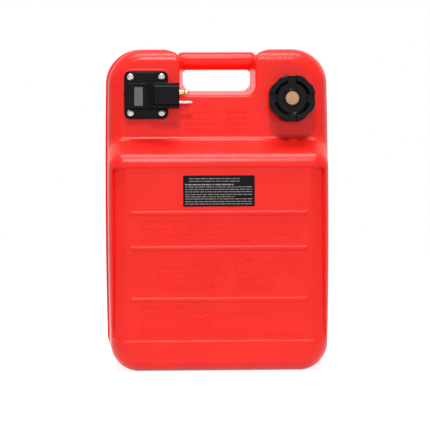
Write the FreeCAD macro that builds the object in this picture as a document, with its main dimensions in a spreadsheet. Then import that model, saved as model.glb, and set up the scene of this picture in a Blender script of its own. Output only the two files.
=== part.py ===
"""Portable outboard fuel tank: blow-moulded shell with a filler cap and a gauge and pick-up head.

Frame: millimetres, +Z up as the tank stands on its base, the front (with cap and gauge) faces -Y,
+X is the right hand side seen from the front. The origin is the centre of the base on the mould's
parting plane, which is the plane Y = 0.
"""

import FreeCAD, Part
import math
import os
import Sketcher

Vector = FreeCAD.Vector

# Driving dimensions in millimetres, degrees or counts. Lower on the page means further into the assembly.
SIZES = {
    # Shell, outside
    "half_width": 170.0,
    "tall": 482.0,
    "half_depth": 115.0,
    "side_draft": 7.0,
    "top_draft": 5.0,
    "shell_wall": 4.0,
    "top_corner": 52.0,
    "bottom_corner": 45.0,
    "edge_round": 22.0,
    "foot_trim": 0.3,
    # Lowered deck that carries the cap and the gauge
    "deck_drop": 45.0,
    "deck_margin": 23.0,
    "slope_drop": 29.0,
    "deck_hollow": 10.0,
    "brow_round": 26.0,
    # Panels set back between the base band and the shoulder band
    "panel_low": 46.0,
    "panel_drop": 43.0,
    "panel_depth": 3.0,
    "panel_side": 15.0,
    "panel_pillow": 25.0,
    "panel_round": 34.0,
    "bead_half": 7.0,
    "bead_proud": 2.5,
    "rib_width": 5.0,
    "rib_proud": 1.6,
    "rib_one_drop": 67.0,
    "rib_two_drop": 118.0,
    "rib_three_drop": 193.0,
    # Hand hole and carrying bar
    "hole_reach": 103.0,
    "hole_drop": 63.0,
    "hole_round": 14.0,
    "hole_flare": 8.2,
    "hole_fall": 19.7,
    "shoulder_run": 26.0,
    "shoulder_drop": 14.0,
    "shoulder_round": 20.0,
    "bar_drop": 31.0,
    "bar_tall": 27.0,
    "bar_deep": 32.0,
    "bar_round": 12.0,
    "bar_root": 10.0,
    # Filler neck
    "cap_from_side": 61.0,
    "cap_from_top": 82.0,
    "neck_bore": 22.5,
    "neck_root": 26.5,
    "neck_tall": 17.0,
    "collar_radius": 30.5,
    "collar_thick": 2.5,
    "thread_pitch": 6.0,
    "thread_turns": 1.5,
    "thread_depth": 1.6,
    "thread_base": 2.8,
    "thread_crest": 1.2,
    "thread_start": 5.5,
    "thread_sink": 0.6,
    "thread_gap": 0.6,
    # Cap
    "cap_radius": 35.0,
    "cap_skirt_low": 3.5,
    "cap_top_thick": 4.5,
    "cap_wall_gap": 1.1,
    "cap_edge_round": 2.0,
    "rim_tall": 8.0,
    "rim_inner": 23.0,
    "rim_gap": 13.0,
    "rim_gap_count": 4,
    "grip_count": 8,
    "grip_width": 13.0,
    "grip_depth": 1.5,
    "gasket_thick": 2.4,
    "gasket_inner": 22.2,
    "gasket_outer": 26.4,
    "seat_gap": 0.1,
    "plug_radius": 21.8,
    "plug_tall": 5.0,
    # Vent screw in the cap
    "vent_head_radius": 9.8,
    "vent_head_tall": 5.2,
    "vent_head_bevel": 0.6,
    "vent_stem_radius": 3.0,
    "vent_stem_end": 10.0,
    "vent_seal_section": 1.6,
    "vent_running_gap": 0.08,
    "bush_radius": 5.5,
    "bush_end": 12.0,
    "bush_gap": 0.05,
    # Gauge and pick-up head
    "gauge_from_side": 64.0,
    "gauge_from_top": 75.0,
    "plate_wide": 65.0,
    "plate_tall": 71.0,
    "plate_thick": 5.0,
    "plate_corner": 9.0,
    "plate_edge": 1.0,
    "screw_pitch_x": 46.0,
    "screw_pitch_z": 53.0,
    "pad_thick": 1.5,
    "pad_margin": 3.0,
    "head_gasket_thick": 2.0,
    "gauge_hole": 27.0,
    "screw_radius": 2.45,
    "screw_head_radius": 5.0,
    "screw_head_tall": 3.2,
    "screw_head_round": 2.2,
    "screw_long": 17.0,
    "screw_hole_gap": 0.3,
    "screw_seat_radius": 5.6,
    "screw_seat_deep": 0.8,
    "cross_wide": 1.3,
    "cross_long": 5.2,
    "cross_deep": 1.9,
    "insert_radius": 3.6,
    "insert_long": 9.0,
    "insert_gap": 0.05,
    "boss_radius": 6.2,
    "boss_long": 13.0,
    "boss_floor": 2.5,
    # Housing on the plate
    "house_left": 26.0,
    "house_tall": 37.0,
    "house_shift": -2.1,
    "house_top": 21.0,
    "ramp_start": -2.5,
    "ramp_end": 12.5,
    "block_right": 49.0,
    "block_top": 31.0,
    "block_under": 9.5,
    "block_step": 3.8,
    "block_step_deep": 5.0,
    "block_chamfer": 2.2,
    # Window, dial drum and float
    "window_x": -10.8,
    "window_z": -3.1,
    "window_wide": 13.0,
    "window_tall": 28.0,
    "window_ledge": 1.2,
    "lens_thick": 2.0,
    "lens_inset": 0.4,
    "lens_gap": 0.05,
    "drum_radius": 14.5,
    "drum_wide": 15.8,
    "drum_up": 2.0,
    "drum_gap": 0.9,
    "drum_rim": 2.0,
    "drum_hub": 4.5,
    "drum_recess": 7.5,
    "scale_thick": 0.4,
    "scale_wide": 12.0,
    "scale_sweep": 225.0,
    "scale_start": 20.0,
    "pin_radius": 1.5,
    "pin_gap": 0.05,
    "pin_proud": 0.6,
    "lug_thick": 2.2,
    "lug_half": 5.0,
    "lug_drop": 5.0,
    "arm_radius": 1.5,
    "arm_long": 150.0,
    "arm_lean": 26.0,
    "arm_shift": -2.5,
    "arm_root": 5.0,
    "arm_tail": 5.0,
    "float_radius": 14.0,
    "float_long": 36.0,
    "float_round": 3.0,
    "clip_radius": 4.0,
    "clip_thick": 1.0,
    # Fuel path and connector
    "tube_x": 14.0,
    "tube_z": 2.7,
    "tube_radius": 4.0,
    "tube_bore": 3.0,
    "tube_gap": 0.05,
    "socket_radius": 7.0,
    "socket_long": 13.0,
    "tube_floor_gap": 16.0,
    "strainer_radius": 7.0,
    "strainer_long": 14.0,
    "strainer_wall": 1.2,
    "strainer_slot": 2.0,
    "strainer_slots": 8,
    "strainer_lap": 6.0,
    "passage_bore": 2.5,
    "riser_end": 1.0,
    "outlet_up": 18.0,
    "outlet_radius": 4.0,
    "outlet_bore": 2.0,
    "outlet_proud": 13.7,
    "outlet_root": 9.0,
    "outlet_root_radius": 5.0,
    "outlet_nose": 1.2,
    "ring_section": 1.2,
    "ring_place": 7.0,
    "guide_z": -12.0,
    "guide_radius": 2.4,
    "guide_proud": 20.4,
    "guide_root": 11.0,
    "guide_root_radius": 3.2,
    "guide_nose": 5.0,
    "guide_tip": 0.6,
    "fit_gap": 0.05,
    # Blank rating sticker
    "label_wide": 104.5,
    "label_tall": 45.3,
    "label_drop": 35.0,
    "label_thick": 0.3,
    "label_corner": 2.0,
}


class Size:
    """A length with its value now and the expression that ties it to the sheet."""

    def __init__(self, value, text):
        self.value = value
        self.text = text

    def __add__(self, other):
        other = as_size(other)
        return Size(self.value + other.value, f"({self.text} + {other.text})")

    def __sub__(self, other):
        other = as_size(other)
        return Size(self.value - other.value, f"({self.text} - {other.text})")

    def __mul__(self, other):
        other = as_size(other)
        return Size(self.value * other.value, f"({self.text} * {other.text})")

    def __truediv__(self, other):
        other = as_size(other)
        return Size(self.value / other.value, f"({self.text} / {other.text})")

    def __neg__(self):
        return Size(-self.value, f"(0 - {self.text})")

    def __radd__(self, other):
        return as_size(other) + self

    def __rsub__(self, other):
        return as_size(other) - self

    def __rmul__(self, other):
        return as_size(other) * self


def as_size(number):
    """A Size stays as it is, and a plain number becomes one."""
    return number if isinstance(number, Size) else Size(float(number), f"{float(number):.6f}")


class SizeSheet:
    """The document's spreadsheet of driving dimensions, read by name."""

    def __init__(self, document, table):
        self.sheet = document.addObject("Spreadsheet::Sheet", "Sizes")
        self.names = {}
        for row, (name, value) in enumerate(table.items(), start=1):
            self.sheet.set(f"A{row}", name)
            self.sheet.set(f"B{row}", str(value))
            self.sheet.setAlias(f"B{row}", name)
            self.names[name] = Size(float(value), f"Sizes.{name}")
        document.recompute()

    def __getattr__(self, name):
        return self.names[name]


doc = FreeCAD.newDocument("OutboardFuelTank")
S = SizeSheet(doc, SIZES)

# Places on the shell, each from the edge that it keeps to.
CAP_ACROSS = S.half_width - S.cap_from_side
CAP_UP = S.tall - S.cap_from_top
GAUGE_ACROSS = S.gauge_from_side - S.half_width
GAUGE_UP = S.tall - S.gauge_from_top
DECK_FOOT = CAP_UP - S.cap_radius - S.deck_margin
PANEL_HIGH = DECK_FOOT - S.panel_drop
PANEL_HALF = S.half_width - S.panel_side
PANEL_FLAT = PANEL_HALF - S.panel_pillow
RIB_LEVELS = [PANEL_HIGH - drop for drop in (S.rib_one_drop, S.rib_two_drop, S.rib_three_drop)]
LABEL_UP = PANEL_HIGH - S.label_drop
HOLE_LOW = S.tall - S.hole_drop
BAR_LOW = S.tall - S.bar_drop

# Heights above the deck, and planes, that several pieces share.
DECK = -(S.half_depth - S.deck_drop)
PANEL_FACE = -(S.half_depth - S.panel_depth)
CAP_CEILING = S.neck_tall + S.seat_gap + S.gasket_thick + S.seat_gap
CAP_TOP = CAP_CEILING + S.cap_top_thick
GASKET_TOP = S.pad_thick + S.head_gasket_thick
PLATE_TOP = GASKET_TOP + S.plate_thick
SCREW_SEAT = PLATE_TOP - S.screw_seat_deep
DRUM_CEILING = S.drum_up + S.drum_radius + S.drum_gap
LENS_FLOOR = S.house_top - S.lens_inset - S.lens_thick
PIVOT_UP = GAUGE_UP + S.window_z
PIVOT_ACROSS = GAUGE_ACROSS + S.window_x

# How near counts as the same place in millimetres, and as the same direction.
NEAR = 0.5
NEARLY_PARALLEL = 0.9

# Directions that a piece's own Z axis can be turned to.
UPRIGHT = FreeCAD.Rotation()
OUTWARD = FreeCAD.Rotation(Vector(1, 0, 0), 90)
INWARD = FreeCAD.Rotation(Vector(1, 0, 0), -90)
RIGHTWARD = FreeCAD.Rotation(Vector(0, 1, 0), 90)


def bind(thing, name, size):
    """Ties one property of an object to the sheet."""
    size = as_size(size)
    if "Sizes." in size.text:
        thing.setExpression(name, size.text)
    else:
        setattr(thing, name, size.value)


def place(thing, x, y, z, rotation=UPRIGHT):
    """Puts an object at a place that stays tied to the sheet."""
    spot = [as_size(v) for v in (x, y, z)]
    thing.Placement = FreeCAD.Placement(Vector(*[v.value for v in spot]), rotation)
    for axis, size in zip("xyz", spot):
        if "Sizes." in size.text:
            thing.setExpression(f"Placement.Base.{axis}", size.text)
    return thing


def new_body(name):
    return doc.addObject("PartDesign::Body", name)


def origin_plane(body, role):
    """One of a body's own origin planes."""
    return next(o for o in body.Origin.OriginFeatures if o.Role == role)


def polygon(body, name, role, points, lift=None):
    """A closed sketch of straight lines, each corner tied to the sheet by its two coordinates."""
    sketch = body.newObject("Sketcher::SketchObject", name)
    sketch.AttachmentSupport = [(origin_plane(body, role), "")]
    sketch.MapMode = "FlatFace"
    if lift is not None:
        sketch.AttachmentOffset = FreeCAD.Placement(Vector(0, 0, as_size(lift).value), UPRIGHT)
        bind(sketch, "AttachmentOffset.Base.z", lift)
    corners = [(as_size(a), as_size(b)) for a, b in points]
    count = len(corners)
    for n, (a, b) in enumerate(corners):
        c, d = corners[(n + 1) % count]
        line = Part.LineSegment(Vector(a.value, b.value, 0), Vector(c.value, d.value, 0))
        sketch.addGeometry(line, False)
    for n in range(count):
        sketch.addConstraint(Sketcher.Constraint("Coincident", n, 2, (n + 1) % count, 1))
    for n, corner in enumerate(corners):
        for kind, size in zip(("DistanceX", "DistanceY"), corner):
            index = sketch.addConstraint(Sketcher.Constraint(kind, n, 1, size.value))
            if "Sizes." in size.text:
                sketch.setExpression(f"Constraints[{index}]", size.text)
    return sketch


def oblong(x_low, x_high, z_low, z_high):
    """The four corners of an upright rectangle."""
    return [(x_low, z_low), (x_high, z_low), (x_high, z_high), (x_low, z_high)]


def disc(body, name, role, x, y, radius, lift=None):
    """A circle sketch tied to the sheet."""
    x, y, radius = as_size(x), as_size(y), as_size(radius)
    sketch = body.newObject("Sketcher::SketchObject", name)
    sketch.AttachmentSupport = [(origin_plane(body, role), "")]
    sketch.MapMode = "FlatFace"
    if lift is not None:
        sketch.AttachmentOffset = FreeCAD.Placement(Vector(0, 0, as_size(lift).value), UPRIGHT)
        bind(sketch, "AttachmentOffset.Base.z", lift)
    circle = Part.Circle(Vector(x.value, y.value, 0), Vector(0, 0, 1), radius.value)
    sketch.addGeometry(circle, False)
    for kind, size in (("DistanceX", x), ("DistanceY", y)):
        index = sketch.addConstraint(Sketcher.Constraint(kind, 0, 3, size.value))
        if "Sizes." in size.text:
            sketch.setExpression(f"Constraints[{index}]", size.text)
    index = sketch.addConstraint(Sketcher.Constraint("Radius", 0, radius.value))
    if "Sizes." in radius.text:
        sketch.setExpression(f"Constraints[{index}]", radius.text)
    return sketch


def pad(body, name, sketch, length, both_ways=False, other_way=False):
    """A pad whose length is tied to the sheet."""
    feature = body.newObject("PartDesign::Pad", name)
    feature.Profile = sketch
    bind(feature, "Length", length)
    feature.Midplane = both_ways
    feature.Reversed = other_way
    doc.recompute()
    return feature


def pocket(body, name, sketch, length=None, both_ways=False, other_way=False):
    """A pocket, through everything unless a length is given. It has to take something away."""
    before = body.Shape.Volume
    feature = body.newObject("PartDesign::Pocket", name)
    feature.Profile = sketch
    if length is None:
        feature.Type = "ThroughAll"
    else:
        bind(feature, "Length", length)
    feature.Midplane = both_ways
    feature.Reversed = other_way
    doc.recompute()
    if not feature.Shape.Volume < before:
        raise ValueError(f"{name} cuts nothing")
    return feature


def ruled_loft(body, name, first, last):
    """A straight-sided loft between two sketches."""
    feature = body.newObject("PartDesign::AdditiveLoft", name)
    feature.Profile = first
    feature.Sections = [last]
    feature.Ruled = True
    doc.recompute()
    return feature


def middle(edge):
    return edge.valueAt((edge.FirstParameter + edge.LastParameter) / 2)


def runs_along(edge, axis):
    """True where an edge is straight and lies nearly along an axis."""
    if len(edge.Vertexes) != 2:
        return False
    chord = edge.Vertexes[1].Point - edge.Vertexes[0].Point
    straight = edge.Length - chord.Length < NEAR
    return straight and abs(chord.normalize().dot(axis)) > NEARLY_PARALLEL


def picked(shape, test):
    """The names of the edges that pass a test."""
    return [f"Edge{n}" for n, edge in enumerate(shape.Edges, start=1) if test(edge)]


def rounded(body, name, base, test, radius, kind="Fillet"):
    """A fillet or chamfer on the edges of the base feature that pass a test."""
    edges = picked(base.Shape, test)
    if not edges:
        raise ValueError(f"{name} finds no edge")
    feature = body.newObject(f"PartDesign::{kind}", name)
    feature.Base = (base, edges)
    bind(feature, "Radius" if kind == "Fillet" else "Size", radius)
    doc.recompute()
    return feature


def turned(name, profile, angle=360.0, backward=False):
    """A body turned about its own Z axis from a profile of radius and height."""
    body = new_body(name)
    sketch = polygon(body, f"{name}_profile", "XZ_Plane", profile)
    feature = body.newObject("PartDesign::Revolution", f"{name}_turn")
    feature.Profile = sketch
    feature.ReferenceAxis = (sketch, ["V_Axis"])
    bind(feature, "Angle", angle)
    feature.Reversed = backward
    doc.recompute()
    return body


def thread(body, name, inner, outer, middle_height, base_at_inner):
    """A helical ridge about the body's own Z axis, wider at its base than at its crest."""
    at_inner, at_outer = S.thread_base, S.thread_crest
    if not base_at_inner:
        at_inner, at_outer = at_outer, at_inner
    profile = [
        (inner, middle_height - at_inner / 2),
        (outer, middle_height - at_outer / 2),
        (outer, middle_height + at_outer / 2),
        (inner, middle_height + at_inner / 2),
    ]
    sketch = polygon(body, f"{name}_profile", "XZ_Plane", profile)
    feature = body.newObject("PartDesign::AdditiveHelix", name)
    feature.Profile = sketch
    feature.ReferenceAxis = (sketch, ["V_Axis"])
    feature.Mode = "pitch-turns-angle"
    bind(feature, "Pitch", S.thread_pitch)
    bind(feature, "Turns", S.thread_turns)
    feature.Angle = 0
    doc.recompute()
    return feature


def cylinder(name, radius, height, x, y, z, rotation=OUTWARD):
    """A plain cylinder that starts at a point and, unless told otherwise, runs out of the deck."""
    thing = doc.addObject("Part::Cylinder", name)
    bind(thing, "Radius", radius)
    bind(thing, "Height", height)
    return place(thing, x, y, z, rotation)


def block(name, x_range, y_range, z_range):
    """A plain box between two corners."""
    thing = doc.addObject("Part::Box", name)
    for prop, (low, high) in zip(("Length", "Width", "Height"), (x_range, y_range, z_range)):
        bind(thing, prop, as_size(high) - low)
    return place(thing, x_range[0], y_range[0], z_range[0])


def cut(name, base, tool):
    thing = doc.addObject("Part::Cut", name)
    thing.Base = base
    thing.Tool = tool
    return thing


def fuse(name, parts):
    thing = doc.addObject("Part::MultiFuse", name)
    thing.Shapes = parts
    return thing


def polar(body, name, feature, count):
    """Repeats a feature about the body's own Z axis."""
    pattern = body.newObject("PartDesign::PolarPattern", name)
    pattern.Originals = [feature]
    pattern.Axis = (origin_plane(body, "Z_Axis"), [""])
    pattern.Angle = 360
    bind(pattern, "Occurrences", count)
    body.Tip = pattern
    doc.recompute()
    return pattern


def both_sides(half):
    """The low and high end of a range that is centred on zero."""
    return (-as_size(half), as_size(half))


def on_deck(thing, across, up):
    """Stands a body on the deck with its own Z axis pointing out of it."""
    return place(thing, across, DECK, up, OUTWARD)


def tank_form(name, inset):
    """The rounded block with its lowered deck, drawn in from the outside by an inset."""
    body = new_body(name)
    side, top = S.half_width - S.bead_proud - inset, S.tall - S.bead_proud - inset
    deep = S.half_depth - inset
    drafted = (side - S.side_draft, top - S.top_draft)
    low = as_size(inset) - S.foot_trim
    middle_section = polygon(body, f"{name}_middle", "XZ_Plane", oblong(-side, side, low, top))
    for end, lift in (("front", deep), ("back", -deep)):
        section = polygon(
            body, f"{name}_{end}", "XZ_Plane", oblong(-drafted[0], drafted[0], low, drafted[1]), lift
        )
        ruled_loft(body, f"{name}_{end}_half", middle_section, section)
    deck, foot = DECK + inset, DECK_FOOT - inset
    clear, above = -(deep + S.edge_round), top + S.edge_round
    brow = foot - S.slope_drop
    step = polygon(
        body,
        f"{name}_step",
        "YZ_Plane",
        [(clear, brow), (-deep, brow), (deck, foot), (deck, above), (clear, above)],
    )
    feature = pocket(body, f"{name}_deck", step, both_ways=True)

    def corner(edge, high):
        spot = middle(edge)
        inside = spot.z > top.value / 2 if high else spot.z < top.value / 2
        return runs_along(edge, Vector(0, 1, 0)) and abs(spot.x) > drafted[0].value - NEAR and inside

    def across(edge, y, z):
        spot = middle(edge)
        near = abs(spot.y - y.value) < NEAR and abs(spot.z - z.value) < NEAR
        return runs_along(edge, Vector(1, 0, 0)) and near

    inset = as_size(inset)
    for label, test, radius in (
        ("top_corners", lambda e: corner(e, True), S.top_corner - inset),
        ("bottom_corners", lambda e: corner(e, False), S.bottom_corner - inset),
        ("hollow", lambda e: across(e, deck, foot), S.deck_hollow + inset),
        ("brow", lambda e: across(e, -deep, brow), S.brow_round - inset),
        ("front_edge", lambda e: across(e, -deep, low), S.edge_round - inset),
        ("back_edge", lambda e: across(e, deep, low), S.edge_round - inset),
    ):
        feature = rounded(body, f"{name}_{label}", feature, test, radius)
    return body


def panel_cutters(name, wall):
    """What the front and back panels take away: a slab less a core with softly rounded sides."""
    deep = S.half_depth - S.panel_depth - wall
    core_half, core_round = PANEL_FLAT + S.panel_round - wall, S.panel_round - wall
    core = new_body(f"{name}_core")
    outline = polygon(
        core,
        f"{name}_outline",
        "XY_Plane",
        oblong(-core_half, core_half, -deep, deep),
        S.panel_low - wall,
    )
    prism = pad(core, f"{name}_prism", outline, PANEL_HIGH - S.panel_low + wall * 2)
    rounded(core, f"{name}_sides", prism, lambda e: runs_along(e, Vector(0, 0, 1)), core_round)
    reach, deepest = both_sides(PANEL_HALF + wall), both_sides(S.half_depth + S.edge_round)
    slab = block(f"{name}_slab", reach, deepest, (S.panel_low - wall, PANEL_HIGH + wall))
    return cut(name, slab, core)


def parting_bead():
    """The band that stands proud all round where the halves of the mould met."""
    body = new_body("parting_bead")
    half = S.half_width
    outline = polygon(body, "bead_outline", "XZ_Plane", oblong(-half, half, -S.foot_trim, S.tall))
    feature = pad(body, "bead_pad", outline, S.bead_half * 2, both_ways=True)
    middle_height = S.tall.value / 2
    for label, high, radius in (("top", True, S.top_corner), ("bottom", False, S.bottom_corner)):
        feature = rounded(
            body,
            f"bead_{label}",
            feature,
            lambda e, high=high: runs_along(e, Vector(0, 1, 0))
            and (middle(e).z > middle_height) == high,
            radius,
        )
    return body


def notch_section(body, name, lift, wall, flare, fall):
    """The hand hole's outline at one depth, with its shoulders opening towards the top."""
    half = S.hole_reach / 2 + wall + flare
    low = HOLE_LOW - wall - fall
    knee = S.tall - S.shoulder_drop
    above = S.tall + S.edge_round
    spread = half + S.shoulder_run * (above - knee) / (S.shoulder_drop + S.edge_round)
    points = [(-spread, above), (-half, knee), (-half, low), (half, low), (half, knee), (spread, above)]
    return polygon(body, name, "XZ_Plane", points, lift)


def notch_cutters(name, wall):
    """Two alike tools for the hand hole, each opening from the parting plane to one face."""
    low_limit, knee_height = HOLE_LOW.value + NEAR, (S.tall - S.shoulder_drop).value
    tools = []
    for side, turn in (("front", 0), ("back", 180)):
        funnel = new_body(f"{name}_{side}")
        inner = notch_section(funnel, f"{name}_{side}_inner", None, wall, 0, 0)
        outer = notch_section(
            funnel, f"{name}_{side}_outer", S.half_depth + NEAR, wall, S.hole_flare, S.hole_fall
        )
        feature = ruled_loft(funnel, f"{name}_{side}_loft", inner, outer)
        for label, test, radius in (
            ("low", lambda e: middle(e).z < low_limit, S.hole_round),
            ("knee", lambda e: abs(middle(e).z - knee_height) < NEAR, S.shoulder_round),
        ):
            feature = rounded(
                funnel,
                f"{name}_{side}_{label}",
                feature,
                lambda e, test=test: runs_along(e, Vector(0, 1, 0)) and test(e),
                radius,
            )
        funnel.Placement = FreeCAD.Placement(Vector(), FreeCAD.Rotation(Vector(0, 0, 1), turn))
        tools.append(funnel)
    return tools


def carrying_bar(name, inset, reach):
    """The bar across the hand hole, or its hollow, rounded along its length."""
    body = new_body(name)
    half_deep = S.bar_deep / 2 - inset
    low, high = BAR_LOW + inset, BAR_LOW + S.bar_tall - inset
    section = polygon(body, f"{name}_section", "YZ_Plane", oblong(-half_deep, half_deep, low, high))
    bar = pad(body, f"{name}_pad", section, reach * 2, both_ways=True)
    rounded(body, f"{name}_round", bar, lambda e: runs_along(e, Vector(1, 0, 0)), S.bar_round - inset)
    return body


def plate_outline(body, name, margin, bottom, thick):
    """A plate with the gauge head's outline and rounded corners, grown by a margin."""
    half_wide, half_tall = S.plate_wide / 2 + margin, S.plate_tall / 2 + margin
    outline = polygon(
        body, f"{name}_outline", "XY_Plane", oblong(-half_wide, half_wide, -half_tall, half_tall), bottom
    )
    plate = pad(body, f"{name}_pad", outline, thick)
    return rounded(
        body,
        f"{name}_corners",
        plate,
        lambda e: runs_along(e, Vector(0, 0, 1)),
        S.plate_corner + margin,
    )


def screw_places():
    """The four screw centres, measured from the middle of the gauge plate."""
    for side in (-1, 1):
        for level in (-1, 1):
            yield S.screw_pitch_x / 2 * side, S.screw_pitch_z / 2 * level


def at_screws(name, radius, bottom, height):
    """One cylinder at each screw of the gauge head."""
    return [
        cylinder(
            f"{name}_{n}", radius, height, GAUGE_ACROSS + x, DECK - bottom, GAUGE_UP + z
        )
        for n, (x, z) in enumerate(screw_places(), start=1)
    ]


def neck():
    """The threaded filler neck with its collar, standing on the deck."""
    body = turned(
        "neck",
        [
            (S.neck_bore, -S.shell_wall),
            (S.collar_radius, -S.shell_wall),
            (S.collar_radius, S.collar_thick),
            (S.neck_root, S.collar_thick),
            (S.neck_root, S.neck_tall),
            (S.neck_bore, S.neck_tall),
        ],
    )
    thread(
        body,
        "neck_thread",
        S.neck_root - S.thread_sink,
        S.neck_root + S.thread_depth,
        S.thread_start,
        base_at_inner=True,
    )
    return on_deck(body, CAP_ACROSS, CAP_UP)


def ribs():
    """Three stiffening ribs across the front panel."""
    half, root = PANEL_FLAT, S.shell_wall / 2
    front = (PANEL_FACE - S.rib_proud, PANEL_FACE + root)
    return [
        block(f"rib_{n}", both_sides(half), front, (level - S.rib_width / 2, level + S.rib_width / 2))
        for n, level in enumerate(RIB_LEVELS, start=1)
    ]


def tank_shell():
    """The hollow blow-moulded shell, with everything that is moulded in one with it."""
    none, wall = as_size(0), S.shell_wall
    solid = fuse("outside_beaded", [tank_form("outside", none), parting_bead()])
    cutters = [panel_cutters("panel", none)] + notch_cutters("hole", none)
    outside = cut("outside_open", solid, fuse("outside_cutters", cutters))
    cutters = [panel_cutters("panel_in", wall)] + notch_cutters("hole_in", wall)
    inside = cut("inside_open", tank_form("inside", wall), fuse("inside_cutters", cutters))
    bar = carrying_bar("bar", none, S.hole_reach / 2 + S.bar_root)
    bar_hollow = carrying_bar("bar_hollow", wall, S.hole_reach / 2 + S.bar_root + wall)
    whole = fuse("outside_whole", [outside, bar])
    shell = cut("shell_wall_only", whole, fuse("hollow", [inside, bar_hollow]))
    gauge_pad = new_body("gauge_pad")
    plate_outline(gauge_pad, "gauge_pad", S.pad_margin, -wall / 2, wall / 2 + S.pad_thick)
    on_deck(gauge_pad, GAUGE_ACROSS, GAUGE_UP)
    bosses = at_screws("boss", S.boss_radius, -S.boss_long, S.boss_long + S.pad_thick)
    grown = fuse("shell_grown", [shell, neck(), gauge_pad] + bosses + ribs())
    deep = S.shell_wall * 2
    openings = [
        cylinder("filler_bore", S.neck_bore, deep, CAP_ACROSS, DECK + deep, CAP_UP),
        cylinder("gauge_bore", S.gauge_hole, deep * 2, GAUGE_ACROSS, DECK + deep, GAUGE_UP),
    ]
    blind = S.boss_long - S.boss_floor
    seat_low = S.pad_thick - S.insert_long
    openings += at_screws("insert_seat", S.insert_radius, seat_low, S.insert_long + NEAR)
    openings += at_screws("screw_well", S.screw_radius + S.screw_hole_gap, -blind, blind)
    across, deepest = both_sides(S.half_width + S.edge_round), both_sides(S.half_depth + S.edge_round)
    openings.append(block("foot_plane", across, deepest, (-S.edge_round, 0)))
    return cut("tank_shell", grown, fuse("shell_openings", openings))


def threaded_inserts():
    """Four brass inserts moulded into the bosses behind the gauge head."""
    low = S.pad_thick - S.insert_long
    solids = at_screws("insert_outer", S.insert_radius, low, S.insert_long)
    through = S.insert_long + NEAR * 2
    bores = at_screws("insert_bore", S.screw_radius + S.insert_gap, low - NEAR, through)
    return cut("threaded_inserts", fuse("insert_solids", solids), fuse("insert_bores", bores))


def rating_label():
    """A blank sticker on the front panel."""
    body = new_body("rating_label")
    half_wide, half_tall = S.label_wide / 2, S.label_tall / 2
    outline = polygon(
        body,
        "label_outline",
        "XZ_Plane",
        oblong(-half_wide, half_wide, LABEL_UP - half_tall, LABEL_UP + half_tall),
        -PANEL_FACE,
    )
    sheet = pad(body, "label_sheet", outline, S.label_thick)
    rounded(body, "label_corners", sheet, lambda e: runs_along(e, Vector(0, 1, 0)), S.label_corner)
    return body


def cap_shell():
    """The filler cap: skirt, dished top, notched rim and finger scallops."""
    inner_wall = S.neck_root + S.thread_depth + S.cap_wall_gap
    rim_top = CAP_TOP + S.rim_tall
    body = turned(
        "cap_shell",
        [
            (S.bush_radius + S.bush_gap, CAP_CEILING),
            (inner_wall, CAP_CEILING),
            (inner_wall, S.cap_skirt_low),
            (S.cap_radius, S.cap_skirt_low),
            (S.cap_radius, rim_top),
            (S.rim_inner, rim_top),
            (S.rim_inner, CAP_TOP),
            (S.bush_radius + S.bush_gap, CAP_TOP),
        ],
    )
    rounded(
        body,
        "cap_soft_edge",
        body.Tip,
        lambda e: is_ring(e, S.cap_radius) and abs(middle(e).z - rim_top.value) < NEAR,
        S.cap_edge_round,
    )
    half_gap, far = S.rim_gap / 2, S.cap_radius + S.rim_tall
    channel_box = oblong(0, far, -half_gap, half_gap)
    channel = polygon(body, "rim_channel_outline", "XY_Plane", channel_box, CAP_TOP)
    cut_one = pocket(body, "rim_channel", channel, S.rim_tall * 2, other_way=True)
    polar(body, "rim_channels", cut_one, S.rim_gap_count)
    grip_radius = S.grip_width * S.grip_width / (S.grip_depth * 8) + S.grip_depth / 2
    scallop = disc(
        body,
        "grip_outline",
        "XY_Plane",
        S.cap_radius - S.grip_depth + grip_radius,
        0,
        grip_radius,
        S.cap_skirt_low - NEAR,
    )
    cut_one = pocket(body, "grip", scallop, rim_top, other_way=True)
    polar(body, "grips", cut_one, S.grip_count)
    thread(
        body,
        "cap_thread",
        S.neck_root + S.thread_gap,
        inner_wall + S.thread_sink,
        S.thread_start + S.thread_pitch / 2,
        base_at_inner=False,
    )
    return on_deck(body, CAP_ACROSS, CAP_UP)


def is_ring(edge, radius):
    """True for a circular edge of a radius."""
    return isinstance(edge.Curve, Part.Circle) and abs(edge.Curve.Radius - radius.value) < NEAR


def on_cap(name, profile):
    """A turned piece on the cap's axis."""
    return on_deck(turned(name, profile), CAP_ACROSS, CAP_UP)


def ring_profile(inner, outer, low, high):
    """The section of a plain ring."""
    return [(inner, low), (outer, low), (outer, high), (inner, high)]


def cap_gasket():
    low = S.neck_tall + S.seat_gap
    return on_cap("cap_gasket", ring_profile(S.gasket_inner, S.gasket_outer, low, low + S.gasket_thick))


def cap_inner_plug():
    low = CAP_CEILING - S.plug_tall
    return on_cap(
        "cap_inner_plug", ring_profile(S.bush_radius + S.bush_gap, S.plug_radius, low, CAP_CEILING)
    )


def vent_bush():
    bore = S.vent_stem_radius + S.vent_running_gap
    return on_cap("vent_bush", ring_profile(bore, S.bush_radius, S.bush_end, CAP_TOP))


def vent_seal():
    """The ring under the vent screw's head."""
    inner = S.vent_stem_radius + S.vent_running_gap
    low = CAP_TOP + S.seat_gap
    section = S.vent_seal_section
    return on_cap("vent_seal", ring_profile(inner, inner + section * 2, low, low + section))


def vent_screw():
    """The brass vent screw, turned by the rim of its plain head."""
    low = CAP_TOP + S.seat_gap * 2 + S.vent_seal_section
    high = low + S.vent_head_tall
    body = turned(
        "vent_screw",
        [
            (0, S.vent_stem_end),
            (S.vent_stem_radius, S.vent_stem_end),
            (S.vent_stem_radius, low),
            (S.vent_head_radius, low),
            (S.vent_head_radius, high - S.vent_head_bevel),
            (S.vent_head_radius - S.vent_head_bevel, high),
            (0, high),
        ],
    )
    return on_deck(body, CAP_ACROSS, CAP_UP)


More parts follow.
